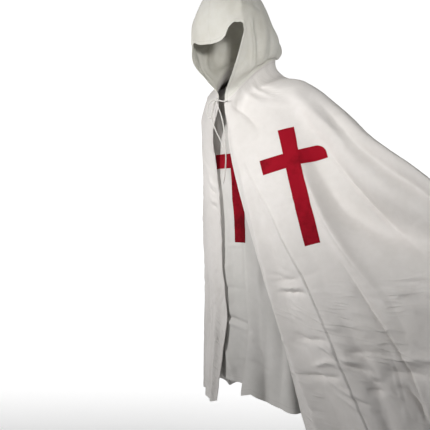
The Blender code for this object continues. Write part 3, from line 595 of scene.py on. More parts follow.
def wrinkle_height(start, way, length, height, width, places):
    """How far a short straight wrinkle lifts the cloth at some flat places. It is highest midway."""
    line = start + np.linspace(0, length, WRINKLE_POINTS)[:, None] * [math.cos(way), math.sin(way)]
    heights = height * np.sin(np.linspace(0, math.pi, WRINKLE_POINTS))
    return line_height(line, heights, width, width, LOOSE_CRISPNESS, places)


# --- the mantle

NECK_CENTRE_Y = -0.030
NECK_HALF_WIDTH = 0.078
NECK_FRONT_DEPTH = 0.125
NECK_BACK_DEPTH = 0.092
NAPE_HEIGHT = 0.145
THROAT_DROP = 0.140
COLLAR_FOOT = 0.010
CLOTH_REACH = 1.20
NECK_CUT_RADIUS = 0.14
LAST_CUT = 180
Rib = namedtuple("Rib", "name cut neck shoulder middle low hem")
MANTLE_RIBS = [Rib(*row[:3], *in_metres(row[3:])) for row in (
    ("left_edge", 0, 8, (30, -155, -119), (153, -165, -451), (269, -155, -752), (360, -130, -1080)),
    ("edge_fold", 5, 15, (50, -158, -105), (192, -180, -440), (320, -178, -740), (435, -170, -1060)),
    ("crease", 13, 32, (88, -150, -90), (265, -186, -405), (428, -198, -660), (630, -200, -1010)),
    ("under_cross", 20, 47, (135, -130, -65), (320, -165, -360), (505, -180, -620), (690, -190, -980)),
    ("long_ridge", 27, 58, (170, -110, -45), (365, -140, -320), (575, -150, -585), (735, -165, -945)),
    ("valley", 36, 70, (190, -80, -10), (405, -112, -245), (650, -125, -490), (795, -130, -880)),
    ("under_arm", 44, 80, (202, -45, 35), (435, -92, -155), (705, -120, -372), (822, -110, -800)),
    ("left_arm", 51, 90, (205, -2, 60), (450, -40, -101), (735, -80, -292), (830, -60, -720)),
    ("behind_arm", 59, 102, (190, 38, 54), (440, 25, -140), (700, 0, -375), (815, 10, -810)),
    ("left_back", 70, 124, (158, 74, 44), (370, 95, -270), (560, 115, -590), (680, 140, -960)),
    ("left_blade", 80, 150, (100, 104, 42), (225, 150, -335), (335, 190, -690), (420, 230, -1060)),
    ("nape", 90, 180, (0, 118, 40), (25, 175, -330), (50, 225, -700), (70, 270, -1075)),
    ("right_blade", 105, 210, (-100, 108, 35), (-150, 165, -330), (-190, 210, -690), (-225, 260, -1060)),
    ("right_back", 120, 240, (-170, 70, 48), (-250, 120, -310), (-300, 160, -670), (-345, 200, -1045)),
    ("right_arm", 135, 270, (-200, 8, 58), (-268, 45, -300), (-290, 70, -660), (-315, 90, -1035)),
    ("right_side", 150, 295, (-178, -45, 35), (-220, -18, -310), (-222, 0, -670), (-232, 12, -1025)),
    ("right_front", 165, 320, (-115, -105, -10), (-142, -100, -330), (-142, -92, -680), (-146, -82, -1010)),
    ("right_edge", 180, 345, (-44, -150, -70), (-36, -147, -380), (-52, -138, -690), (-85, -128, -985)),
)]
MANTLE_ROWS = 250
# How far the right front edge is drawn across the surcoat and in towards it at some reaches, and from
# which cut angle this starts.
RIGHT_EDGE_FROM = 152
RIGHT_EDGE_MOVES = in_metres((
    (0, 0, 0), (100, 0, 2), (280, -2, 17), (500, 0, 18), (660, 10, 18), (800, 34, 18), (1000, 26, 16),
    (1250, 12, 12),
))
EDGE_TUCK = 0.006  # how much closer still the edge itself lies to the surcoat
EDGE_TUCK_FROM = 170
EDGE_TUCK_START = 0.15  # from this reach on
EDGE_TUCK_GROWTH = 0.12
# Where the left front panel's columns crowd: cut angle, width, how much closer.
CROWDING = ((0.0, 2.0, 1.6), (14.2, 1.3, 1.6), (27.5, 2.2, 1.0))
CROWDING_TRIES = 1000
LAST_COLUMN_POWER = 1.3  # the columns crowd towards the right front edge too
ROW_CROWDING = 0.18  # how much closer the rows are at the hem
HEM_BAND = 0.018  # the turned-up hem, thicker than the rest
HEM_ROW_GAP = 0.0008  # of the length, on both sides of the hem's stitched edge
LAST_ROW = 0.9990
FRONT_BAND = 0.013
Panel = namedtuple("Panel", "name first_cut last_cut cells")
MANTLE_PANELS = (
    Panel("mantle_front_left", 0, 51, 190),
    Panel("mantle_back_left", 51, 90, 110),
    Panel("mantle_back_right", 90, 135, 110),
    Panel("mantle_front_right", 135, LAST_CUT, 96),
)
SAME_CUT = 1e-6  # two cut angles less apart than this are the same
FOLD_START_HEIGHT = 0.4
FOLD_FADE = 0.2
Fold = namedtuple("Fold", "name cut reach end_cut end_reach near_width far_width height")
# The large folds that stay straight on the cut cloth, as the solids have them.
MANTLE_FOLDS = [
    Fold(name, cut, reach / MM, end_cut, *(size / MM for size in sizes))
    for name, cut, reach, end_cut, *sizes in (
        ("cross panel", 18, 120, 20.5, 800, 70, 60, 10),
        ("outer swell", 37, 900, 36, 1400, 60, 60, 24),
        ("lit swell", 40.5, 840, 40.5, 1400, 60, 50, 12),
        ("behind arm", 58, 350, 57.5, 1400, 50, 55, -30),
        ("left back 1", 64.5, 300, 64, 1400, 60, 50, 30),
        ("left back 2", 71, 250, 71.5, 1400, 50, 65, -28),
        ("left back 3", 78.5, 180, 79, 1400, 60, 50, 36),
        ("left back 4", 85.5, 220, 86.5, 1400, 50, 55, -30),
        ("back 1", 94, 150, 93, 1400, 55, 65, 45),
        ("back 2", 100.5, 250, 100, 1400, 50, 50, -40),
        ("back 3", 107.5, 160, 108, 1400, 65, 55, 45),
        ("back 4", 115, 280, 115.5, 1400, 50, 60, -42),
        ("back 5", 122.5, 180, 123, 1400, 60, 50, 40),
        ("back 6", 129.5, 300, 130.5, 1400, 50, 55, -36),
        ("right side 1", 137, 300, 138.5, 1400, 55, 50, 20),
        ("right side 2", 145, 350, 146, 1400, 50, 55, -28),
        ("right side 3", 153.5, 350, 154.5, 1400, 50, 45, 12),
        ("right side 4", 161.5, 400, 162, 1400, 45, 50, -14),
        ("right edge roll", 173, 300, 172, 1400, 40, 40, 10),
    )
]
# Creases that wander. Their near side is the side of the left front edge, and a path's points are cut
# angle, reach and height.
CREASES = creases(
    (1, MM, MM),
    ("edge roll", 16, 20, 0.5,
     (4.2, 80, 0), (4.7, 140, 4), (6.3, 270, 8), (5.4, 360, 11), (4.6, 460, 12), (4.2, 560, 13),
     (3.4, 650, 13), (3, 710, 14), (3.6, 770, 16), (4.8, 860, 18), (5.8, 950, 18), (6.3, 1060, 17),
     (6.4, 1240, 16)),
    ("behind edge", 20, 24, 0.1,
     (8.4, 260, 0), (8.8, 380, -7), (8.6, 520, -10), (7.6, 660, -11), (7.4, 780, -12), (8.8, 900, -13),
     (9.6, 1050, -14), (9.8, 1240, -14)),
    ("crease", 18, 4, 0.95,
     (8.4, 210, 0), (9.4, 260, 3), (11.5, 350, 4), (12.9, 420, 3.5), (13.2, 490, 4), (13.8, 550, 3.5),
     (14.4, 630, 4.5), (14.3, 720, 3.5), (14.1, 820, 4), (14, 900, 4.5), (14.2, 1040, 4), (14.3, 1240, 4.5)),
    ("beside crease", 3, 10, 0.8,
     (10, 260, 0), (12, 350, -1.5), (13.3, 420, -1), (13.6, 490, -1.5), (14.1, 550, -1.5), (14.8, 630, -1.8),
     (14.6, 720, -1), (14.4, 820, -1.8), (14.3, 900, -1.8), (14.5, 1040, -1.5), (14.6, 1240, -1.8)),
    ("soft hollow", 30, 40, 0.1,
     (17.5, 520, 0), (18.6, 660, -7), (19.4, 800, -10), (19.8, 980, -12), (20, 1240, -14)),
    ("before ridge", 11, 5, 0.85,
     (25.2, 640, 0), (25.5, 700, -5), (25.7, 770, -7), (26.5, 840, -8), (27.9, 920, -8), (29.1, 1000, -6),
     (30.1, 1100, -4), (30.6, 1240, -4)),
    ("long ridge", 16, 26, 0.6,
     (28.8, 280, 0), (28.4, 370, 8), (27.9, 460, 16), (27.5, 540, 21), (27.6, 620, 21), (28, 690, 15),
     (28.6, 750, 8), (29.2, 820, 0)),
    ("valley", 34, 60, 0.2,
     (34.4, 300, 0), (34.2, 380, -20), (33.6, 450, -36), (33.2, 510, -50), (34, 570, -58), (36, 640, -62),
     (38.8, 700, -62), (41.8, 770, -56), (44.4, 830, -44), (46.4, 900, -26), (48, 970, 0)),
    ("low valley", 40, 46, 0.1,
     (33, 700, 0), (36.5, 840, -16), (38.6, 960, -22), (39.2, 1080, -24), (39.4, 1240, -24)),
    ("chest ridge", 12, 16, 0.6,
     (40.2, 130, 0), (41, 190, 7), (42.3, 270, 11), (43.9, 340, 10), (45.2, 420, 0)),
    ("chest valley", 32, 18, 0.3,
     (39, 120, 0), (38.8, 200, -11), (37.9, 270, -13), (39, 350, -10), (40.2, 430, 0)),
    ("thin valley", 6, 16, 0.8,
     (39, 340, 0), (38.7, 440, -9), (38.3, 520, -13), (37.7, 590, -14), (37.3, 660, -12), (38.4, 740, -8),
     (40, 810, 0)),
    ("under the arm", 30, 14, 0.4,
     (45.6, 220, 0), (46.4, 300, -10), (46.8, 380, -18), (46.9, 440, -23), (46.9, 510, -27), (47, 580, -30),
     (47.4, 650, -31), (47.8, 720, -28), (47.8, 820, -24), (47.2, 960, -22), (46.4, 1100, -25),
     (46, 1240, -26)),
    ("collar valley", 30, 34, 0.3,
     (12, 26, 0), (19, 32, -10), (28, 40, -18), (37, 46, -20), (45, 48, -14), (53, 46, -6), (62, 44, 0)),
    ("throat crease", 6, 10, 0.7,
     (8.5, 22, 0), (11.5, 45, -10), (15.5, 80, -12), (17.6, 130, -9), (18.6, 175, 0)),
    ("throat gather 1", 7, 10, 0.4, (19, 5, 0), (20.5, 30, 5.9), (24, 70, 5.9), (27, 120, 0)),
    ("throat gather 2", 8, 10, 0.4, (27.5, 5, 0), (29.5, 30, 6.8), (32, 70, 6.8), (34, 130, 0)),
    ("shoulder gather", 11, 14, 0.4, (36, 5, 0), (38, 40, 7.6), (39.5, 90, 7.6), (40.5, 150, 0)),
    # Short creases left by the way it was packed. The first two cross the chest.
    ("fold line", 13, 50, 0.7,
     (15, 62, 0), (19.5, 72, 7), (25, 100, 9), (32, 135, 9), (39.5, 183, 7), (45, 215, 0)),
    ("fold line low", 7, 8, 0.6,
     (15, 405, 0), (17, 415, -2.7), (20, 430, -3.4), (24, 445, -2.7), (27, 455, 0)),
    ("strip wrinkle 1", 7, 7, 0.6, (169.5, 325, 0), (174, 345, 6.5), (179.2, 343, 0)),
    ("strip wrinkle 2", 7, 6, 0.7, (170, 362, 0), (174.5, 374, -7), (178.8, 366, 0)),
    ("strip wrinkle 3", 6, 7, 0.7, (171, 395, 0), (174, 408, 6.5), (178.8, 402, 0)),
    ("strip wrinkle 4", 6, 6, 0.6, (172, 432, 0), (175.5, 426, -5.5), (179.2, 436, 0)),
    ("wrinkle 1", 8, 7, 0.7, (4.8, 585, 0), (7, 598, -7.1), (9.6, 615, 0)),
    ("wrinkle 2", 7, 8, 0.7, (4.6, 615, 0), (8, 617, -7.6), (11.5, 620, -8.5), (14.3, 630, 0)),
    ("wrinkle 3", 7, 7, 0.7, (6, 636, 0), (9, 641, 7.1), (12.5, 649, 7.1), (14.4, 658, 0)),
    ("wrinkle 4", 8, 7, 0.8, (4.8, 648, 0), (8.5, 655, -10), (12, 662, -10), (14.6, 678, 0)),
    ("wrinkle 5", 7, 8, 0.7, (5.4, 795, 0), (8.5, 800, -8.1), (12, 805, -8.1), (14.4, 820, 0)),
    ("wrinkle 6", 7, 8, 0.7, (10.8, 815, 0), (12.4, 825, 10), (13.6, 845, 10), (14.2, 872, 0)),
    ("wrinkle 7", 8, 7, 0.7, (7.8, 880, 0), (9.6, 873, 10), (12, 868, 10), (14, 878, 0)),
    ("wrinkle 8", 8, 7, 0.7, (4.4, 893, 0), (7.5, 905, -10.5), (11, 911, -10.5), (13.8, 912, 0)),
    ("wrinkle 9", 8, 8, 0.7, (13.9, 858, 0), (15.9, 877, 10.9), (19, 900, 10.9), (21.3, 936, 0)),
    ("wrinkle 10", 8, 7, 0.7, (14.4, 880, 0), (16.2, 897, -9.5), (18.6, 918, -9.5), (20.6, 948, 0)),
    ("wrinkle 11", 8, 9, 0.6, (16, 862, 0), (19, 872, -10.5), (23, 895, -10.5), (28.8, 940, 0)),
    ("wrinkle 12", 8, 9, 0.7, (28.4, 938, 0), (31.2, 957, 12.4), (34, 980, 12.4), (37.5, 1005, 0)),
    ("wrinkle 13", 12, 13, 0.5, (22.8, 935, 0), (26.2, 960, -15.4), (29.5, 985, -15.4), (33.8, 1015, 0)),
    ("wrinkle 14", 8, 8, 0.6, (18.2, 914, 0), (20.4, 940, 10), (23.4, 966, 0)),
    ("wrinkle 15", 9, 10, 0.6, (24.8, 985, 0), (27.8, 1020, -14.3), (29.2, 1060, -14.3), (29.7, 1105, 0)),
    ("wrinkle 16", 8, 8, 0.6, (17.8, 962, 0), (20.4, 979, -10), (23, 993, 0)),
)
# Loose cloth wrinkles all over: the seed of their draw, how many lines, between which cut angles, how far
# they turn off the ribs in degrees, between which reaches, how long, how wide and how high.
Scatter = namedtuple("Scatter", "name seed count cuts turns reaches length width height")
SCATTERS = [Scatter(*row[:5], *in_metres(row[5:8]), row[8] / MM) for row in (
    ("front low", 11, 40, (1, 50), (46, 82), (720, 1170), (50, 140), (6, 9), 5.6),
    ("front band", 21, 40, (1, 50), (52, 72), (760, 1000), (60, 170), (5, 6.5), 7.6),
    ("front middle", 12, 34, (2, 50), (40, 85), (300, 760), (50, 140), (6, 12), 2.6),
    ("front long", 13, 14, (16, 50), (-6, 6), (300, 1000), (140, 300), (10, 18), 3.2),
    ("back low", 14, 64, (52, 134), (58, 122), (700, 1170), (60, 170), (5, 10), 3.2),
    ("back high", 15, 46, (52, 134), (58, 122), (120, 700), (50, 160), (5, 12), 2.4),
    ("back long", 16, 26, (52, 134), (-6, 6), (200, 1000), (160, 340), (10, 20), 4),
    ("right low", 17, 34, (136, 179), (95, 130), (600, 1150), (50, 130), (4, 9), 2.8),
    ("right high", 18, 26, (136, 179), (90, 130), (100, 600), (40, 110), (4, 9), 2.2),
)]
SCATTER_STEPS = 6
SCATTER_BEND = 0.5  # in radians over its length, at most
SCATTER_POWER = 1.2  # how soon it thins out towards its ends
SCATTER_SHARES = (0.4, 1.0)  # of the height
SCATTER_FAR_SHARES = (0.7, 1.4)  # of the width
SCATTER_CRISPNESS = (0.2, 0.8)
WANDER = 0.009  # how far the straight folds stray sideways
WANDER_SIZE = 0.16
WANDER_SEEDS = (3, 4)
# Layers of soft hills, each a height, a size and a seed. The first is in shares of the folds' height.
UNEVEN_FOLDS = ((0.22, 0.22, 5),)
MANTLE_RIPPLES = ((0.0010, 0.05, 6), (0.0006, 0.022, 7))
NECK_FADE = 0.012  # below the neck seam


def flat_place(cut, reach):
    """Where a point of the mantle lies on the flat half circle."""
    turn = np.radians(cut)
    radius = np.asarray(reach) + NECK_CUT_RADIUS
    return np.stack([radius * np.sin(turn), radius * np.cos(turn)], axis=-1)


def fold_height(fold, places):
    """How far a straight fold lifts the cloth at some places of the flat cut."""
    start = flat_place(fold.cut, fold.reach)
    end = flat_place(fold.end_cut, fold.end_reach)
    length = np.linalg.norm(end - start)
    way = (end - start) / length
    along_fold = (places - start) @ way / length
    across = (places - start) @ np.array([way[1], -way[0]])
    width = np.where(across < 0, fold.near_width, fold.far_width)
    ends = ease(along_fold / FOLD_FADE) * ease((1 - along_fold) / FOLD_FADE)
    growth = FOLD_START_HEIGHT + (1 - FOLD_START_HEIGHT) * np.clip(along_fold, 0, 1)
    return fold.height * growth * ends * np.exp(-((across / width) ** 2))


def scatter_height(scatter, places):
    """How far the loose wrinkles of one table row lift the cloth."""
    draw = np.random.default_rng(scatter.seed)
    total = np.zeros(places.shape[:-1])
    steps = np.linspace(0, 1, SCATTER_STEPS + 1)
    for _ in range(scatter.count):
        start = flat_place(draw.uniform(*scatter.cuts), draw.uniform(*scatter.reaches))
        down = math.atan2(start[0], start[1]) + math.radians(draw.uniform(*scatter.turns))
        length = draw.uniform(*scatter.length)
        ways = down + draw.uniform(-SCATTER_BEND, SCATTER_BEND) * (steps - 0.5)
        moves = np.stack([np.sin(ways), np.cos(ways)], axis=1) * length / SCATTER_STEPS
        line = start + np.concatenate([[[0, 0]], np.cumsum(moves[:-1], axis=0)])
        near = draw.uniform(*scatter.width)
        height = scatter.height * draw.uniform(*SCATTER_SHARES) * draw.choice([-1, 1])
        heights = height * np.sin(np.pi * steps) ** SCATTER_POWER
        far = near * draw.uniform(*SCATTER_FAR_SHARES)
        total += line_height(line, heights, near, far, draw.uniform(*SCATTER_CRISPNESS), places)
    return total


def neck_point(angle):
    """A point of the neck ring, at an angle in degrees from the throat."""
    turn = math.radians(angle)
    depth = NECK_FRONT_DEPTH if math.cos(turn) > 0 else NECK_BACK_DEPTH
    height = NAPE_HEIGHT - THROAT_DROP * ((1 + math.cos(turn)) / 2) ** 3
    return np.array([NECK_HALF_WIDTH * math.sin(turn), NECK_CENTRE_Y - depth * math.cos(turn), height])


def between_ribs(field, cut):
    """What the mantle's ribs have in one field, at any cut angle."""
    cuts = [rib.cut for rib in MANTLE_RIBS]
    return smooth(cuts, [getattr(rib, field) for rib in MANTLE_RIBS], [cut])[0]


def neck_at_cut(cut):
    """Where the mantle's edge at a cut angle meets the neck ring."""
    return neck_point(float(between_ribs("neck", cut)))


def rib_points(cut):
    """The control points of the mantle's rib at a cut angle."""
    start = neck_at_cut(cut)
    stations = [between_ribs(station, cut) for station in Rib._fields[3:]]
    return [start, start + [0, 0, -COLLAR_FOOT], *stations]


def mantle_cuts():
    """The cut angles of the mantle's columns, closer together at its front edges and sharp creases."""
    cuts = []
    for panel in MANTLE_PANELS:
        shares = np.linspace(0, 1, panel.cells + 1)
        if panel.first_cut == 0:
            tries = np.linspace(0, 1, CROWDING_TRIES)
            crowd = 1 + sum(
                more * np.exp(-(((tries * panel.last_cut - at) / width) ** 2)) for at, width, more in CROWDING
            )
            shares = np.interp(shares, np.cumsum(crowd) / crowd.sum(), tries)
            shares[0], shares[-1] = 0, 1
        elif panel.last_cut == LAST_CUT:
            shares = 1 - shares[::-1] ** LAST_COLUMN_POWER
        cuts += list(panel.first_cut + (panel.last_cut - panel.first_cut) * shares)[min(len(cuts), 1):]
    return np.array(cuts)


def mantle_rows():
    """The mantle's rows, in shares of its length."""
    rows = np.arange(MANTLE_ROWS + 1) / MANTLE_ROWS
    rows = rows * (1 + ROW_CROWDING * (1 - rows))
    band = 1 - HEM_BAND / CLOTH_REACH
    return np.sort(np.concatenate([rows[:-1], [band - HEM_ROW_GAP, band + HEM_ROW_GAP, LAST_ROW, 1.0]]))


def draw_in_edge(grid, cuts, reaches):
    """Moves the right front edge of the mantle's grid across the surcoat and in towards it."""
    drawn, tucked = (
        ease((cuts - start) / (LAST_CUT - start))[:, None] for start in (RIGHT_EDGE_FROM, EDGE_TUCK_FROM)
    )
    moves = np.array(RIGHT_EDGE_MOVES)
    grid[..., :2] += drawn[..., None] * smooth(moves[:, 0], moves[:, 1:], reaches)[None]
    grid[..., 1] += EDGE_TUCK * tucked * ease((reaches - EDGE_TUCK_START) / EDGE_TUCK_GROWTH)[None, :]


def mantle():
    """The whole mantle as one grid: its cut angles, points, outer normals and flat places."""
    cuts, rows = mantle_cuts(), mantle_rows()
    reaches = rows * CLOTH_REACH
    grid = np.stack([along(rib_points(cut), rows) for cut in cuts])
    draw_in_edge(grid, cuts, reaches)
    places = flat_place(cuts[:, None], reaches[None, :])
    stray = np.stack([noise(places, WANDER_SIZE, seed) for seed in WANDER_SEEDS], axis=-1) * WANDER
    uneven = 1 + ripples(places, UNEVEN_FOLDS)
    lift = sum(fold_height(fold, places + stray) for fold in MANTLE_FOLDS) * uneven
    lift = lift + sum(
        crease_height(crease, flat_place(*crease.path[:, :2].T), places) for crease in CREASES
    )
    lift = lift + sum(scatter_height(scatter, places) for scatter in SCATTERS)
    lift = (lift + ripples(places, MANTLE_RIPPLES)) * ease(reaches / NECK_FADE)[None, :]
    grid = grid + grid_normals(grid) * lift[..., None]
    return cuts, grid, grid_normals(grid), places


def band_thickness(places):
    """Half the cloth's thickness at flat places of the mantle: thicker at the hem and the front edges."""
    in_hem = hem_share(np.linalg.norm(places, axis=-1) - (NECK_CUT_RADIUS + CLOTH_REACH - HEM_BAND))
    in_front = hem_share(FRONT_BAND - places[..., 0])
    return HALF_CLOTH * (1 + HEM_EXTRA * np.maximum(in_hem, in_front))


# --- the hood

HoodRib = namedtuple("HoodRib", "name cheek side upper brow")
HOOD_RIBS = {
    "left": [HoodRib(row[0], *in_metres(row[1:])) for row in (
        ("rim", (62, -172, 85), (94, -166, 180), (92, -158, 248), (60, -190, 218)),
        ("temple", (86, -138, 100), (103, -128, 180), (98, -134, 285), (62, -182, 290)),
        ("ear", (94, -96, 115), (108, -84, 185), (94, -86, 285), (62, -122, 345)),
        ("head_side", (94, -36, 142), (101, -22, 190), (82, -30, 270), (52, -46, 335)),
        ("head_back", (72, 20, 158), (78, 26, 190), (62, 18, 245), (36, 8, 298)),
        ("nape_side", (40, 64, 156), (46, 74, 176), (40, 70, 204), (22, 60, 236)),
        ("nape", (0, 74, 155), (0, 86, 163), (0, 96, 171), (0, 103, 178)),
    )],
    "right": [HoodRib(row[0], *in_metres(row[1:])) for row in (
        ("rim", (-64, -158, 72), (-96, -194, 140), (-94, -190, 190), (-50, -202, 180)),
        ("temple", (-86, -138, 95), (-104, -162, 165), (-106, -180, 262), (-58, -206, 272)),
        ("ear", (-94, -96, 115), (-112, -96, 185), (-104, -112, 300), (-62, -150, 350)),
        ("head_side", (-94, -36, 142), (-106, -24, 190), (-92, -34, 280), (-56, -52, 340)),
        ("head_back", (-72, 20, 158), (-82, 26, 190), (-68, 18, 250), (-38, 8, 302)),
        ("nape_side", (-40, 64, 156), (-46, 74, 176), (-40, 70, 204), (-22, 60, 236)),
        ("nape", (0, 74, 155), (0, 86, 163), (0, 96, 171), (0, 103, 178)),
    )],
}
CROWN_SEAM = in_metres((
    (-204, 176), (-212, 275), (-176, 362), (-78, 378), (-8, 330), (48, 262), (108, 186),
))
HOOD_FOOT = 0.008
HOOD_COLUMNS = 84
HOOD_ROWS = 72
RIM_CROWDING = 0.6  # the columns are finer near the rim
RIM_CROWDING_POWER = 1.4
HOOD_ROW_POWER = 0.9
# Where along a half of the hood its neck seam passes the mantle's panel joins: (share, cut angle).
NECK_CUTS = {"left": ((0.0, 0), (0.6, 51), (1.0, 90)), "right": ((0.0, 180), (0.48, 135), (1.0, 90))}
RIM_BAND = 0.011
RIM_EXTRA = 0.8
# Folds of the hood. A path's points are share from the rim to the nape, share from the neck to the
# crown, and height.
HOOD_FOLDS = {
    "left": creases(
        (1, 1, MM),
        ("brow corner", 14, 14, 0.8,
         (0, 0.66, 3), (0.06, 0.71, 6), (0.12, 0.735, 7), (0.2, 0.76, 7), (0.3, 0.79, 5), (0.4, 0.82, 0)),
        ("cheek fall", 9, 9, 0.5,
         (0.25, 0.03, 0), (0.25, 0.12, 5), (0.17, 0.34, 5.5), (0.1, 0.53, 3.5), (0.06, 0.62, 0)),
        ("cheek trough", 11, 11, 0.3,
         (0.35, 0.03, 0), (0.33, 0.14, -5), (0.25, 0.36, -5.5), (0.18, 0.54, -3), (0.14, 0.66, 0)),
        ("cheek pleat", 5, 5, 0.7,
         (0.3, 0.02, 0), (0.28, 0.12, 4), (0.21, 0.35, 4.6), (0.14, 0.53, 3), (0.1, 0.64, 0)),
        ("side fall", 12, 12, 0.3, (0.36, 0.04, 0), (0.37, 0.2, 4.5), (0.36, 0.4, 4), (0.34, 0.58, 0)),
        ("side trough", 10, 10, 0.3, (0.46, 0.03, 0), (0.46, 0.16, -4.5), (0.44, 0.34, -4), (0.42, 0.52, 0)),
        ("back bag", 16, 16, 0.2, (0.56, 0.03, 0), (0.58, 0.15, 5), (0.6, 0.3, 4), (0.6, 0.48, 0)),
        ("nape fold", 12, 12, 0.4, (0.68, 0.04, 0), (0.7, 0.22, -4.5), (0.74, 0.45, -4.5), (0.8, 0.7, 0)),
        ("nape swell", 14, 14, 0.2, (0.8, 0.06, 0), (0.83, 0.3, 4), (0.87, 0.6, 3), (0.92, 0.85, 0)),
    ),
    "right": creases(
        (1, 1, MM),
        ("crumple 1", 7, 7, 0.5, (0.02, 0.06, 0), (0.07, 0.12, 5.5), (0.13, 0.15, 0)),
        ("crumple 2", 7, 7, 0.6, (0.03, 0.17, 0), (0.08, 0.2, -5.5), (0.15, 0.26, 0)),
        ("crumple 3", 8, 8, 0.5, (0.02, 0.3, 0), (0.06, 0.31, 6), (0.12, 0.36, 0)),
        ("crumple 4", 6, 6, 0.6, (0.01, 0.42, 0), (0.05, 0.44, -4.5), (0.11, 0.43, 0)),
        ("crumple 5", 7, 7, 0.5, (0.13, 0.09, 0), (0.16, 0.16, -5), (0.17, 0.24, 0)),
        ("cheek fall", 11, 11, 0.3, (0.12, 0.08, 0), (0.15, 0.24, 4.5), (0.18, 0.44, 4.5), (0.2, 0.66, 0)),
        ("cheek trough", 11, 11, 0.2,
         (0.24, 0.05, 0), (0.26, 0.22, -4.5), (0.28, 0.42, -4.5), (0.3, 0.66, 0)),
        ("side fall", 14, 14, 0.3, (0.38, 0.04, 0), (0.38, 0.2, 5), (0.37, 0.42, 4), (0.36, 0.6, 0)),
        ("side trough", 11, 11, 0.3, (0.5, 0.03, 0), (0.5, 0.18, -5), (0.49, 0.38, -4), (0.47, 0.56, 0)),
        ("back bag", 15, 15, 0.2, (0.62, 0.03, 0), (0.64, 0.18, 5), (0.66, 0.36, 4), (0.68, 0.55, 0)),
        ("nape fold", 12, 12, 0.4, (0.76, 0.05, 0), (0.78, 0.24, -4.5), (0.82, 0.5, -4), (0.88, 0.75, 0)),
    ),
}
HOOD_SCATTER = 16
HOOD_SCATTER_SEEDS = {"left": 21, "right": 22}
HOOD_SCATTER_HEIGHT = 0.0020
HOOD_SCATTER_PLACES = ((0.03, 0.27), (0.02, 0.32))  # from the rim and up from the neck
HOOD_SCATTER_LENGTH = (0.03, 0.08)
HOOD_SCATTER_WIDTH = (0.003, 0.007)
HOOD_RIPPLES = ((0.0010, 0.04, 23),)
HOOD_SEAM_FADE = 0.06  # of the way from the crown or nape seam
HOOD_NECK_FADE = 0.010
# How the left half's rim is drawn across the opening and up at some shares from the neck to the crown,
# and how far back this reaches.
RIM_MOVE_REACH = 0.16
RIM_MOVES = np.array((
    (0, 0, 0), (0.48, 0, 0), (0.58, 1, -4), (0.65, -4, -15), (0.7, -4, -10), (0.76, -1, 3), (0.81, 1, 1),
    (0.87, 7, -11), (0.93, 6, -10), (1, 0, 0),
)) / (1, MM, MM)


def hood_half(side):
    """One half of the hood as a grid, from the rim to the nape: points and flat places."""
    ribs, neck_cuts = HOOD_RIBS[side], NECK_CUTS[side]
    places = np.linspace(0, 1, len(ribs))
    at = np.linspace(0, 1, HOOD_COLUMNS + 1)
    at = (1 - RIM_CROWDING) * at + RIM_CROWDING * at ** RIM_CROWDING_POWER
    cuts = np.interp(at, [share for share, cut in neck_cuts], [cut for share, cut in neck_cuts])
    stations = [smooth(places, [getattr(rib, name) for rib in ribs], at) for name in HoodRib._fields[1:]]
    seam = smooth(places, CROWN_SEAM, at)
    shares = (np.arange(HOOD_ROWS + 1) / HOOD_ROWS) ** HOOD_ROW_POWER
    columns = []
    for k, cut in enumerate(cuts):
        start = neck_at_cut(cut)
        end = [0, *seam[k]]
        stops = [start, start + [0, 0, HOOD_FOOT], *(station[k] for station in stations), end]
        columns.append(along(stops, shares))
    grid = np.stack(columns)
    if side == "left":
        moved = smooth(RIM_MOVES[:, 0], RIM_MOVES[:, 1:], shares)
        turn = math.radians(CAMERA_YAW)
        ways = np.array([[math.cos(turn), math.sin(turn), 0], [0, 0, 1]])
        grid += ease(1 - at / RIM_MOVE_REACH)[:, None, None] * (moved @ ways)[None]
    rise = run_along(grid, 1)
    flat = np.stack([run_along(grid), rise], axis=2)
    lift = np.zeros(grid.shape[:2])
    for fold in HOOD_FOLDS[side]:
        column, row = (
            np.round(np.interp(fold.path[:, axis], lines, np.arange(len(lines)))).astype(int)
            for axis, lines in enumerate((at, shares))
        )
        lift += crease_height(fold, flat[column, row], flat)
    draw = np.random.default_rng(HOOD_SCATTER_SEEDS[side])
    for _ in range(HOOD_SCATTER):
        start = np.array([draw.uniform(*ends) for ends in HOOD_SCATTER_PLACES])
        lift += wrinkle_height(
            start, draw.uniform(0, math.pi), draw.uniform(*HOOD_SCATTER_LENGTH),
            HOOD_SCATTER_HEIGHT * draw.choice([-1, 1]), draw.uniform(*HOOD_SCATTER_WIDTH), flat,
        )
    lift += ripples(flat, HOOD_RIPPLES)
    crown = ease((1 - shares) / HOOD_SEAM_FADE)[None, :]
    nape = ease((1 - at) / HOOD_SEAM_FADE)[:, None]
    lift *= ease(rise / HOOD_NECK_FADE) * crown * nape
    outer = grid_normals(grid) * (-1 if side == "left" else 1)
    return grid + outer * lift[..., None], flat


# --- the surcoat

Ring = namedtuple("Ring", "name height centre half_width front back")
SURCOAT_RINGS = [Ring(name, *(size / MM for size in sizes)) for name, *sizes in (
    ("hem", -950, 46, 222, 112, 150),
    ("knee", -740, 42, 198, 110, 135),
    ("hip", -560, 30, 182, 114, 120),
    ("waist", -380, 20, 170, 113, 100),
    ("chest", -160, 10, 182, 118, 104),
    ("above", -60, 5, 186, 112, 100),
)]
RING_ROUNDNESS = 2.3
UNDERARM_HEIGHT = -0.160
SHOULDER_NECK = (0.088, 0.0, 0.092)
SHOULDER_TIP = (0.184, 0.0, 0.050)
SURCOAT_NECKLINE = {"front": (-0.098, -0.022), "back": (0.086, 0.078)}
NECKLINE_SHARE = 0.42
NECKLINE_RISE = 2.2
ARMHOLE_BOW = (0.016, 0.052, 0.030)
ARMHOLE_SHARPNESS = 5
UPPER_BOW = 0.4
CHEST_HANDLE = (0.004, 0.075)
COLLAR_HANDLE = (0.012, -0.045)
SHOULDER_HANDLE = (0.062, -0.015)
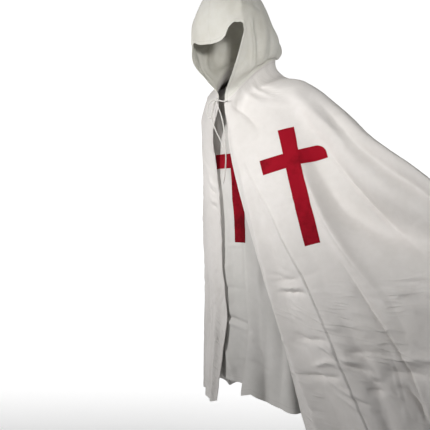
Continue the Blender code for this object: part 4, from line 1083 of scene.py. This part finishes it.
SLIT_TOP = 6 / 13  # of the skirt's height
SLIT_OVERLAP = 0.006
SLIT_OVERLAP_START = 0.06
SLIT_OVERLAP_GROWTH = 0.2
SLIT_NEARNESS = 11  # one over how far from the slit its edges are moved
SLIT_LEAN = 0.085  # how far the slit and the cloth round it shift to the left above the hem
SLIT_LEAN_FADE = 0.3
SLIT_LEAN_END = 0.95
SLIT_STEP_BACK = 0.030
SLIT_HEM_DROP = 0.027
SKIRT_RIGHT_LIFT = 0.045
SKIRT_RISE_SHARES = {"front": (0.3, -0.1), "back": (1, -1)}
SKIRT_MIDDLE = 0.020
SKIRT_FACING = 2.2
SKIRT_FOLD_GROWTH = 1.2
SkirtFold = namedtuple("SkirtFold", "name angle top width height")
SURCOAT_FOLDS = [
    SkirtFold(name, angle, top / MM, width, height / MM) for name, angle, top, width, height in (
        ("left trough", 22, -500, 9, -30),
        ("left lobe", 50, -420, 13, 34),
        ("right trough", -38, -450, 11, -16),
        ("right lobe", -14, -550, 9, 10),
        ("back left", 128, -350, 12, 22),
        ("back middle", 158, -300, 10, -22),
        ("back right", -158, -380, 12, 22),
        ("back far right", -124, -450, 12, -18),
    )
]
SKIRT_CELLS = {"front": 130, "back": 96}
SKIRT_ROWS = 140
CHEST_ROWS = 46
SURCOAT_HEM = 0.020
# Creases of the surcoat's front and back. A path's points are share across from the wearer's right,
# height on the body, and height of the crease.
SKIRT_CREASES = {
    "front": creases(
        (1, MM, MM),
        ("slit seam", 4, 4, 0.8, (0, -360, 0), (0, -420, -2), (0, -540, -2.8), (0, -620, 0)),
        ("right fall", 12, 14, 0.5,
         (-0.34, -200, 0), (-0.36, -320, 4.5), (-0.38, -500, 6), (-0.4, -660, 5), (-0.42, -730, 0)),
        ("right line", 6, 8, 0.7,
         (-0.2, -170, 0), (-0.24, -270, 5), (-0.29, -390, 6), (-0.3, -490, 5.5), (-0.28, -600, 5),
         (-0.2, -680, 4), (-0.16, -710, 0)),
        ("right hollow", 14, 14, 0.2,
         (-0.12, -260, 0), (-0.14, -400, -5), (-0.15, -580, -6), (-0.14, -680, 0)),
        ("side fall", 18, 20, 0.3, (-0.66, -220, 0), (-0.66, -400, 6), (-0.64, -650, 8), (-0.62, -970, 8)),
        ("diagonal fall", 11, 12, 0.5,
         (-0.48, -755, 0), (-0.36, -800, 5.5), (-0.22, -852, 6.5), (-0.12, -920, 5.5), (-0.1, -960, 4)),
        ("flap dip", 5, 10, 0.6,
         (-0.52, -688, 0), (-0.32, -698, -5), (-0.14, -710, -6.2), (0, -720, -4.5), (0.1, -727, 0)),
        ("flap lift", 8, 6, 0.5,
         (-0.44, -716, 0), (-0.3, -722, 3.5), (-0.16, -731, 5), (-0.04, -740, 2.5), (0.04, -745, 0)),
        ("left fall", 14, 18, 0.4, (0.18, -360, 0), (0.19, -500, 4), (0.18, -700, 4.5), (0.18, -970, 4.5)),
        ("left upright", 14, 16, 0.4,
         (0.44, -560, 0), (0.43, -700, -6), (0.41, -820, -9.5), (0.4, -920, -11), (0.4, -980, -11)),
        ("across 1", 5, 5, 0.7, (-0.3, -465, 0), (-0.18, -458, 2.8), (-0.04, -452, 2.8), (0.05, -450, 0)),
        ("across 2", 6, 7, 0.6, (0.03, -822, 0), (0.1, -826, -4), (0.2, -830, -4), (0.3, -829, 0)),
        ("across 3", 5, 6, 0.7, (0.02, -765, 0), (0.08, -772, 3.2), (0.14, -785, 3.2), (0.19, -800, 0)),
        ("across 4", 5, 6, 0.6, (-0.4, -590, 0), (-0.26, -600, -2.6), (-0.1, -596, -2.6), (0.02, -585, 0)),
    ),
    "back": creases(
        (1, MM, MM),
        ("back fall 1", 18, 20, 0.3, (-0.5, -180, 0), (-0.5, -400, 6), (-0.52, -970, 8)),
        ("back fall 2", 18, 20, 0.3, (0.06, -100, 0), (0.06, -350, 6), (0.05, -970, 8)),
        ("back fall 3", 18, 20, 0.3, (0.6, -220, 0), (0.6, -450, 6), (0.58, -970, 8)),
        ("back hollow", 20, 20, 0.2, (0.3, -200, 0), (0.31, -450, -6), (0.3, -970, -8)),
    ),
}
SURCOAT_SCATTER = 44
SURCOAT_SCATTER_SEEDS = {"front": 33, "back": 34}
SURCOAT_SCATTER_HEIGHT = 0.0024
SURCOAT_SCATTER_TOP = 0.95
SURCOAT_SCATTER_TURNS = (0.1, 0.9)
SURCOAT_SCATTER_LENGTH = (0.04, 0.13)
SURCOAT_SCATTER_WIDTH = (0.004, 0.009)
SURCOAT_SCATTER_SHARES = (0.4, 1)
SURCOAT_RIPPLES = ((0.0010, 0.05, 31), (0.0006, 0.02, 32))
SURCOAT_EDGE = 0.02  # beside the side seams, where the loose folds fade out


def ring_points(angles, heights):
    """Points of the surcoat at some angles in degrees round its rings of some heights."""
    stations = [ring.height for ring in SURCOAT_RINGS]
    values = smooth(stations, [ring[2:] for ring in SURCOAT_RINGS], heights)
    turn = np.radians(angles)
    power = 2 / RING_ROUNDNESS
    depth = np.where(np.cos(turn) > 0, values[:, 2], values[:, 3])
    x = values[:, 0] + values[:, 1] * np.sign(np.sin(turn)) * np.abs(np.sin(turn)) ** power
    upright = np.where(np.abs(np.cos(turn)) < 1e-9, 0.0, np.cos(turn))
    y = -depth * np.sign(upright) * np.abs(upright) ** power
    return np.stack([x, y, heights], axis=1)


def skirt_lift(angles, heights):
    """How far the surcoat's folds lift it at some angles and heights."""
    total = np.zeros(len(heights))
    for fold in SURCOAT_FOLDS:
        off = (angles - fold.angle + 180) % 360 - 180
        grown = np.clip((fold.top - heights) / (fold.top - SURCOAT_RINGS[0].height), 0, 1)
        total += fold.height * grown ** SKIRT_FOLD_GROWTH * np.exp(-((off / fold.width) ** 2))
    return total


def skirt_column(side, share, rise):
    """One column of a panel's skirt, at some shares of its height."""
    first, last = SKIRT_RISE_SHARES[side]
    hem = SURCOAT_RINGS[0].height + SKIRT_RIGHT_LIFT * float(ease((first - share) / (first - last)))
    heights = hem + (UNDERARM_HEIGHT - hem) * rise
    fade = ease(rise / SLIT_LEAN_FADE) * ease((SLIT_LEAN_END - rise) / SLIT_LEAN_FADE)
    lean = SLIT_LEAN * (1 - share ** 2) * fade
    angle = 90 * (share + lean) if side == "front" else np.full(len(rise), 180.0 - 90 * share)
    skirt = ring_points(angle, heights)
    outward = (skirt - [SKIRT_MIDDLE, 0, 0]) * [1, SKIRT_FACING, 0]
    outward /= np.linalg.norm(outward, axis=1, keepdims=True)
    return skirt + outward * skirt_lift(angle, heights)[:, None]


def surcoat_column(side, share, rise):
    """One column of a panel from the hem up. share runs from -1 at the wearer's right side seam to 1 at
    the left one, and rise holds the shares of the skirt's height."""
    facing = -1 if side == "front" else 1
    skirt = skirt_column(side, share, rise)
    chest, width = skirt[-1], abs(share)
    sign = math.copysign(1, share)
    low_y, low_z = SURCOAT_NECKLINE[side]
    neck, tip = np.array(SHOULDER_NECK), np.array(SHOULDER_TIP)
    if width < NECKLINE_SHARE:
        way = width / NECKLINE_SHARE
        top_z = low_z + (neck[2] - low_z) * way ** NECKLINE_RISE
        top = np.array([neck[0] * way, low_y * (1 - way ** 2) ** 0.5, top_z])
    else:
        top = neck + (tip - neck) * (width - NECKLINE_SHARE) / (1 - NECKLINE_SHARE)
    top = top * [sign, 1, 1]
    over = min(width / NECKLINE_SHARE, 1) ** 2
    bow = np.array([-sign * ARMHOLE_BOW[0], facing * ARMHOLE_BOW[1], -ARMHOLE_BOW[2]])
    bow = bow * width ** ARMHOLE_SHARPNESS
    lower = chest + [0, facing * CHEST_HANDLE[0], CHEST_HANDLE[1]] + bow
    handle = (1 - over) * np.array(COLLAR_HANDLE) + over * np.array(SHOULDER_HANDLE)
    upper = top + [0, facing * handle[0], handle[1]] + bow * [1, UPPER_BOW, 1]
    t = (np.arange(1, CHEST_ROWS + 1) / CHEST_ROWS)[:, None]
    upward = (1 - t) ** 3 * chest + 3 * (1 - t) ** 2 * t * lower + 3 * (1 - t) * t ** 2 * upper + t ** 3 * top
    return np.concatenate([skirt, upward])


def surcoat_lift(side, shares, span, base, height, spots):
    """How far the small folds of a panel lift it at its flat places. span and height are where its
    columns and rows lie, and base is the middle column."""
    lift = ripples(spots, SURCOAT_RIPPLES)
    skirt = slice(SKIRT_ROWS + 1)
    for crease in SKIRT_CREASES[side]:
        across = np.interp(crease.path[:, 0], shares, span)
        up = np.interp(crease.path[:, 1], base[skirt, 2], height[skirt])
        lift += crease_height(crease, np.stack([across, up], axis=1), spots)
    draw = np.random.default_rng(SURCOAT_SCATTER_SEEDS[side])
    for _ in range(SURCOAT_SCATTER):
        aside = draw.uniform(SURCOAT_EDGE, span[-1] - SURCOAT_EDGE)
        start = np.array([aside, draw.uniform(SURCOAT_EDGE, SURCOAT_SCATTER_TOP)])
        way = draw.choice([-1, 1]) * draw.uniform(*SURCOAT_SCATTER_TURNS)
        length = draw.uniform(*SURCOAT_SCATTER_LENGTH)
        tall = SURCOAT_SCATTER_HEIGHT * draw.uniform(*SURCOAT_SCATTER_SHARES) * draw.choice([-1, 1])
        lift += wrinkle_height(start, way, length, tall, draw.uniform(*SURCOAT_SCATTER_WIDTH), spots)
    return lift * ease(np.minimum(spots[:, 0], span[-1] - spots[:, 0]) / SURCOAT_EDGE)


def surcoat_panel(side):
    """A panel of the surcoat: points, outer normals, faces and flat places. The front one has the riding
    slit, whose right half hangs behind the left one."""
    cells = SKIRT_CELLS[side]
    shares = np.linspace(-1, 1, cells + 1)
    half = cells // 2 + 1
    if side == "front":
        shares = np.concatenate([shares[:half], shares[half - 1 :]])
    rise = np.linspace(0, 1, SKIRT_ROWS + 1)
    grid = np.stack([surcoat_column(side, share, rise) for share in shares])
    rise = np.concatenate([rise, np.full(CHEST_ROWS, 1.0)])
    fall = np.clip(1 - rise / SLIT_TOP, 0, 1)
    if side == "front":
        grid[:half, :, 1] += SLIT_STEP_BACK * fall * ((shares[:half] + 1) ** 2)[:, None]
        near_slit = np.clip(1 - np.abs(shares) * SLIT_NEARNESS, 0, 1)[:, None]
        grown = ease((fall - SLIT_OVERLAP_START) / SLIT_OVERLAP_GROWTH)
        grid[:half, :, 0] += SLIT_OVERLAP * near_slit[:half] * grown
        grid[half:, :, 2] -= SLIT_HEM_DROP * fall * near_slit[half:]
    base = grid[len(shares) // 2]
    height = run_along(base)
    span = run_along(grid[:, SKIRT_ROWS // 2])
    spots = np.stack(np.broadcast_arrays(span[:, None], height[None, :]), axis=2).reshape(-1, 2)
    number = point_numbers(grid)
    if side == "front":
        closed = fall <= 0
        number[half, closed] = number[half - 1, closed]
        faces = np.concatenate([grid_quads(part, True) for part in (number[:half], number[half:])])
    else:
        faces = grid_quads(number)
    points = grid.reshape(-1, 3)
    lift = surcoat_lift(side, shares, span, base, height, spots)
    points = points + point_normals(points, faces) * lift[:, None]
    return points, point_normals(points, faces), faces, spots


# --- the crosses

Cross = namedtuple("Cross", "name panel centre up across rounded_corner")
CROSS_BAR = 0.046
CROSS_TOP = 0.100
CROSS_ARM = 0.098
CROSS_FOOT = 0.261
CROSS_CELL = 0.0026
MANTLE_CROSS = Cross(
    "mantle_cross", "mantle_front_left",
    (0.262, -0.130, -0.176), (-0.368, 0.0, 0.930), (0.905, 0.316, 0.285), 0.030,
)
SURCOAT_CROSS = Cross(
    "surcoat_cross", "surcoat_front",
    (0.026, -0.118, -0.180), (-0.050, 0.0, 0.999), (1.0, 0.0, 0.05), 0.0,
)
CROSS_SHAKE = 0.0010  # how far its edges stray
CROSS_SHAKE_SIZE = 0.05
APPLIQUE_NEAR = 0.0003  # above the cloth's face
APPLIQUE_FAR = 0.0011
APPLIQUE_EDGE = 0.0016  # over which it grows to its full height
APPLIQUE_EDGE_SHARE = 0.45
TURNED_EDGE = 0.0003  # how much higher it is over its turned edge
TURNED_EDGE_PLACE = 0.0075
TURNED_EDGE_FADE = 0.003
CAST_FROM = 0.12


def cross_lines():
    """The places across and up of the fine grid that a cross is made on."""
    lines = []
    for first, last in ((-CROSS_ARM, CROSS_ARM), (-CROSS_FOOT, CROSS_TOP)):
        stops = (first, -CROSS_BAR / 2, CROSS_BAR / 2, last)
        found = [np.array([first])]
        for start, end in zip(stops, stops[1:]):
            count = math.ceil((end - start) / CROSS_CELL)
            found.append(np.linspace(start, end, count + 1)[1:])
        lines.append(np.concatenate(found))
    return lines


def cross_plane(corner):
    """The flat cross: its points across and up, how far inside its outline they lie, and its faces."""
    a, b = np.meshgrid(*cross_lines(), indexing="ij")
    mid_a, mid_b = (a[1:, 1:] + a[:-1, :-1]) / 2, (b[1:, 1:] + b[:-1, :-1]) / 2
    keep = (np.abs(mid_a) < CROSS_BAR / 2) | (np.abs(mid_b) < CROSS_BAR / 2)
    number = point_numbers(a)
    faces = np.stack([
        number[:-1, :-1][keep], number[1:, :-1][keep], number[1:, 1:][keep], number[:-1, 1:][keep],
    ], axis=1)
    used, faces = np.unique(faces, return_inverse=True)
    plane = np.stack([a.ravel(), b.ravel()], axis=1)[used]
    upright = np.minimum(CROSS_BAR / 2 - np.abs(plane[:, 0]),
                         np.minimum(CROSS_TOP - plane[:, 1], plane[:, 1] + CROSS_FOOT))
    level = np.minimum(CROSS_BAR / 2 - np.abs(plane[:, 1]), CROSS_ARM - np.abs(plane[:, 0]))
    if corner:
        centre = [CROSS_ARM - corner, CROSS_BAR / 2 - corner]
        local = (plane - centre) / corner
        near = (local > 0).all(axis=1)
        x, y = local[near].T
        bent = np.stack([x * np.sqrt(1 - y * y / 2), y * np.sqrt(1 - x * x / 2)], axis=1)
        plane[near] = centre + bent * corner
    return plane, np.maximum(upright, level), faces.reshape(-1, 4)


def add_cross(cross, points, normals, quads, looks):
    """A cross of thin cloth on a panel: its own fine grid, laid on the panel along the cross's axis."""
    plane, inside, faces = cross_plane(cross.rounded_corner)
    seed = len(cross.name)
    shake = [noise(plane, CROSS_SHAKE_SIZE, one) for one in (seed, seed + 1)]
    shaky = plane + CROSS_SHAKE * np.stack(shake, axis=1)
    out = np.cross(cross.across, cross.up)
    tree = search_tree(points, quads)
    placed, facing = np.zeros((len(plane), 3)), np.zeros((len(plane), 3))
    flat = np.array(cross.centre) + shaky[:, :1] * cross.across + shaky[:, 1:] * cross.up
    for k, spot in enumerate(flat):
        hit, _, index, _ = tree.ray_cast(Vector(spot + out * CAST_FROM), Vector(-out))
        placed[k] = hit
        corners = quads[index]
        weights = 1 / (np.linalg.norm(points[corners] - placed[k], axis=1) + 1e-5) ** 2
        facing[k] = (normals[corners] * weights[:, None]).sum(axis=0)
    facing /= np.linalg.norm(facing, axis=1, keepdims=True)
    near = HALF_CLOTH + APPLIQUE_NEAR
    grown = APPLIQUE_EDGE_SHARE + (1 - APPLIQUE_EDGE_SHARE) * ease(inside / APPLIQUE_EDGE)
    far = near + (APPLIQUE_FAR - APPLIQUE_NEAR) * grown
    far = far + TURNED_EDGE * (1 - ease(np.abs(inside - TURNED_EDGE_PLACE) / TURNED_EDGE_FADE))
    piece = shell("cloth_" + cross.name, placed, facing, faces, plane, near, far, looks, inside)
    settle(piece, "cross_cloth", cross.name)


# --- the cloth pieces

# The right front of the mantle lies on the surcoat: cut angles and reaches from here on are kept clear.
CLEAR_FROM_CUT = 145
CLEAR_FROM_REACH = 0.20
CLEAR_GAP = 0.0035  # between the middles of the two cloths
CLEAR_SEARCH = 0.030
CLEAR_MOST = 0.012
CLEAR_CELLS = 5  # each way, over which a move fades out


def spread_out(field, cells):
    """The largest value within some cells each way, evened out over as many."""
    for step in (np.max, np.mean):
        for axis in (0, 1):
            edge = [(cells, cells) if axis == side else (0, 0) for side in (0, 1)]
            padded = np.pad(field, edge, mode="edge")
            windows = np.lib.stride_tricks.sliding_window_view(padded, 2 * cells + 1, axis)
            field = step(windows, axis=-1)
    return field


def clear_of_surcoat(cuts, grid, normals, places, front):
    """The mantle moved out a little where a fold of the surcoat would come through its right front.
    front is the surcoat's front panel."""
    points, facing, quads, _ = front
    tree = search_tree(points, quads)
    reach = np.linalg.norm(places, axis=-1) - NECK_CUT_RADIUS
    need = np.zeros(grid.shape[:2])
    for i, j in zip(*np.nonzero((cuts[:, None] > CLEAR_FROM_CUT) & (reach > CLEAR_FROM_REACH))):
        hit, _, index, _ = tree.find_nearest(Vector(grid[i, j]), CLEAR_SEARCH)
        if hit is not None:
            need[i, j] = CLEAR_GAP - (grid[i, j] - np.array(hit)) @ facing[quads[index][0]]
    grid = grid + normals * spread_out(np.clip(need, 0, CLEAR_MOST), CLEAR_CELLS)[..., None]
    return grid, grid_normals(grid)


def add_mantle(front, looks, red):
    """The mantle's panels, with the cross on the left front one."""
    cuts, grid, normals, places = mantle()
    grid, normals = clear_of_surcoat(cuts, grid, normals, places, front)
    half = band_thickness(places)
    for panel in MANTLE_PANELS:
        first, last = panel.first_cut - SAME_CUT, panel.last_cut + SAME_CUT
        part = np.nonzero((cuts >= first) & (cuts <= last))[0]
        quads = grid_quads(point_numbers(grid[part]))
        points, facing = grid[part].reshape(-1, 3), normals[part].reshape(-1, 3)
        flat, thick = places[part].reshape(-1, 2), half[part].ravel()
        piece = shell("cloth_" + panel.name, points, facing, quads, flat, -thick, thick, looks)
        settle(piece, "mantle_cloth", panel.name)
        if panel.name == MANTLE_CROSS.panel:
            add_cross(MANTLE_CROSS, points, facing, quads, red)


def add_hood(looks):
    for side in ("left", "right"):
        grid, flat = hood_half(side)
        quads = grid_quads(point_numbers(grid), side == "left")
        points, spots = grid.reshape(-1, 3), flat.reshape(-1, 2)
        facing = point_normals(points, quads)
        thick = HALF_CLOTH * (1 + RIM_EXTRA * hem_share(RIM_BAND - spots[:, 0]))
        piece = shell("cloth_hood_" + side, points, facing, quads, spots, -thick, thick, looks)
        settle(piece, "mantle_cloth", "hood_" + side)


def add_surcoat(panels, looks, red):
    """The surcoat's panels, with the cross on the front one."""
    for side, (points, facing, quads, spots) in panels.items():
        thick = HALF_CLOTH * (1 + HEM_EXTRA * hem_share(SURCOAT_HEM - spots[:, 1]))
        name = "surcoat_" + side
        piece = shell("cloth_" + name, points, facing, quads, spots, -thick, thick, looks)
        settle(piece, "surcoat_cloth", name)
        if name == SURCOAT_CROSS.panel:
            add_cross(SURCOAT_CROSS, points, facing, quads, red)


# --- the stage

FLOOR_HEIGHT = -1.45
STAGE_RADIUS = 5.0
STAGE_BEND = 1.2
STAGE_BEND_STEPS = 13
STAGE_WALL = 6.0
STAGE_SIDES = 72
STAGE_GREY = (0.62, 0.62, 0.62, 1.0)
STAGE_ROUGHNESS = 0.9
GLOW_COLOUR = (1.0, 1.0, 1.0, 1.0)
STAGE_MIDDLE = (0.001, 1.5)  # the radii of its first rings
STAGE_INNER_SHARE = 0.75
GLOW_HIGH = 0.10  # high on the wall all round
GLOW_HIGH_HEIGHTS = (-0.6, 0.8)
GLOW_PATCH = 0.85  # in the patch behind the costume, which fades away towards the camera, aside and up
GLOW_PATCH_AWAY = (-0.6, 1.8)
GLOW_PATCH_ASIDE = (4.4, 2.0)
GLOW_PATCH_HEIGHTS = (2.8, 1.8)


def stage_material():
    """Pale studio paper, lit up more behind the costume than on the camera's side."""
    made = bpy.data.materials.new("stage_paper")
    made.use_nodes = True
    graph = Graph(made)
    graph.shader.inputs["Base Color"].default_value = STAGE_GREY
    graph.shader.inputs["Roughness"].default_value = STAGE_ROUGHNESS
    graph.shader.inputs["Emission Color"].default_value = GLOW_COLOUR
    x, y, z = graph.add("ShaderNodeSeparateXYZ", {0: graph.body}).outputs
    away, aside = graph.turned(y, x, CAMERA_YAW)
    patch = graph.times(
        graph.fade(away, *GLOW_PATCH_AWAY),
        graph.fade(graph.math("ABSOLUTE", aside), *GLOW_PATCH_ASIDE),
        graph.fade(z, *GLOW_PATCH_HEIGHTS),
        GLOW_PATCH,
    )
    high = graph.times(graph.fade(z, *GLOW_HIGH_HEIGHTS), GLOW_HIGH)
    graph.links.new(graph.math("MAXIMUM", patch, high), graph.shader.inputs["Emission Strength"])
    return made


def add_stage():
    """A round pale floor that bends up into a pale wall all round."""
    foot = STAGE_RADIUS - STAGE_BEND
    bend = np.linspace(0, math.pi / 2, STAGE_BEND_STEPS)
    profile = [(radius, 0.0) for radius in (*STAGE_MIDDLE, foot * STAGE_INNER_SHARE)]
    profile += [(foot + STAGE_BEND * math.sin(a), STAGE_BEND * (1 - math.cos(a))) for a in bend]
    profile += [(STAGE_RADIUS, STAGE_WALL)]
    turns = np.linspace(0, 2 * math.pi, STAGE_SIDES, endpoint=False)
    points = [
        (radius * math.cos(turn), radius * math.sin(turn), FLOOR_HEIGHT + height)
        for radius, height in profile for turn in turns
    ]
    faces = []
    for first in range(0, len(points) - STAGE_SIDES, STAGE_SIDES):
        for i in range(STAGE_SIDES):
            low, after = first + i, first + (i + 1) % STAGE_SIDES
            faces.append((low, after, after + STAGE_SIDES, low + STAGE_SIDES))
    mesh = bpy.data.meshes.new("stage")
    mesh.from_pydata(points, [], faces)
    mesh.shade_smooth()
    mesh.materials.append(stage_material())
    add_object("stage", mesh)


WARM_WHITE = (1.0, 0.985, 0.96)
Light = namedtuple("Light", "name place target size spread power colour")
LIGHTS = (
    Light("key", (-0.68, -1.90, 0.24), (0.14, -0.20, -0.27), (0.25, 0.25), 74, 4.7, (1.0, 0.985, 0.97)),
    Light("camera_side", (1.95, -1.45, 0.42), (0.03, -0.08, 0.06), (0.30, 0.30), 32, 0.95, WARM_WHITE),
    Light("arm_side", (2.25, -1.35, 0.10), (0.63, -0.13, -0.32), (0.35, 0.35), 19, 0.17, WARM_WHITE),
)
WORLD_COLOUR = (1.0, 1.0, 1.0)
WORLD_STRENGTH = 0.05


def add_lights():
    for light in LIGHTS:
        lamp = bpy.data.lights.new(light.name, "AREA")
        lamp.energy = light.power
        lamp.color = light.colour
        lamp.shape = "RECTANGLE"
        lamp.size, lamp.size_y = light.size
        lamp.spread = math.radians(light.spread)
        piece = add_object(light.name, lamp)
        piece.location = light.place
        way = Vector(light.target) - Vector(light.place)
        piece.rotation_euler = way.to_track_quat("-Z", "Y").to_euler()
    world = bpy.data.worlds.new("studio")
    world.use_nodes = True
    shade = world.node_tree.nodes["Background"]
    shade.inputs["Color"].default_value = (*WORLD_COLOUR, 1.0)
    shade.inputs["Strength"].default_value = WORLD_STRENGTH
    bpy.context.scene.world = world


# The rows of stitches on the flat cloth: beside the mantle's front edges, beside its panel seams and
# above its hem, beside the hood's rim, and beside the surcoat's hem and side.
SEAM_STITCHES = (0.0, 0.004, -0.004)
MANTLE_STITCH_LINES = ((0, 0.012), *((cut, offset) for cut in (51, 90, 135) for offset in SEAM_STITCHES))
MANTLE_STITCH_ARCS = (NECK_CUT_RADIUS + CLOTH_REACH - 0.016, NECK_CUT_RADIUS + 0.006)
HOOD_STITCH_LINES = ((0, 0.010), (90, -0.006))
SURCOAT_STITCH_LINES = ((90, -0.018), (0, 0.008))

add_camera()
mantle_looks = cloth_material(
    "mantle_cotton", (0.80, 0.775, 0.755), (0.74, 0.715, 0.69), MANTLE_STITCH_LINES, MANTLE_STITCH_ARCS,
    crumple=0.0022,
)
# The hood's cloth is tinted warmer, yellower and a little darker than the mantle's: painted warm light.
hood_looks_painted_warm_light = cloth_material("hood_cotton", (0.77, 0.765, 0.715), (0.70, 0.685, 0.615), HOOD_STITCH_LINES)
surcoat_looks = cloth_material(
    "surcoat_cotton", (0.72, 0.705, 0.685), (0.66, 0.65, 0.625), SURCOAT_STITCH_LINES
)
add_tie(cord_material("cord_cotton", (0.84, 0.83, 0.80), (0.62, 0.60, 0.56)))
red_looks = red_material("cross_cotton", (0.33, 0.004, 0.016), (0.15, 0.001, 0.006))
surcoat = {side: surcoat_panel(side) for side in ("front", "back")}
add_mantle(surcoat["front"], mantle_looks, red_looks)
add_hood(hood_looks_painted_warm_light)
add_surcoat(surcoat, surcoat_looks, red_looks)
add_stage()
add_lights()
bpy.context.scene.view_settings.view_transform = "Standard"
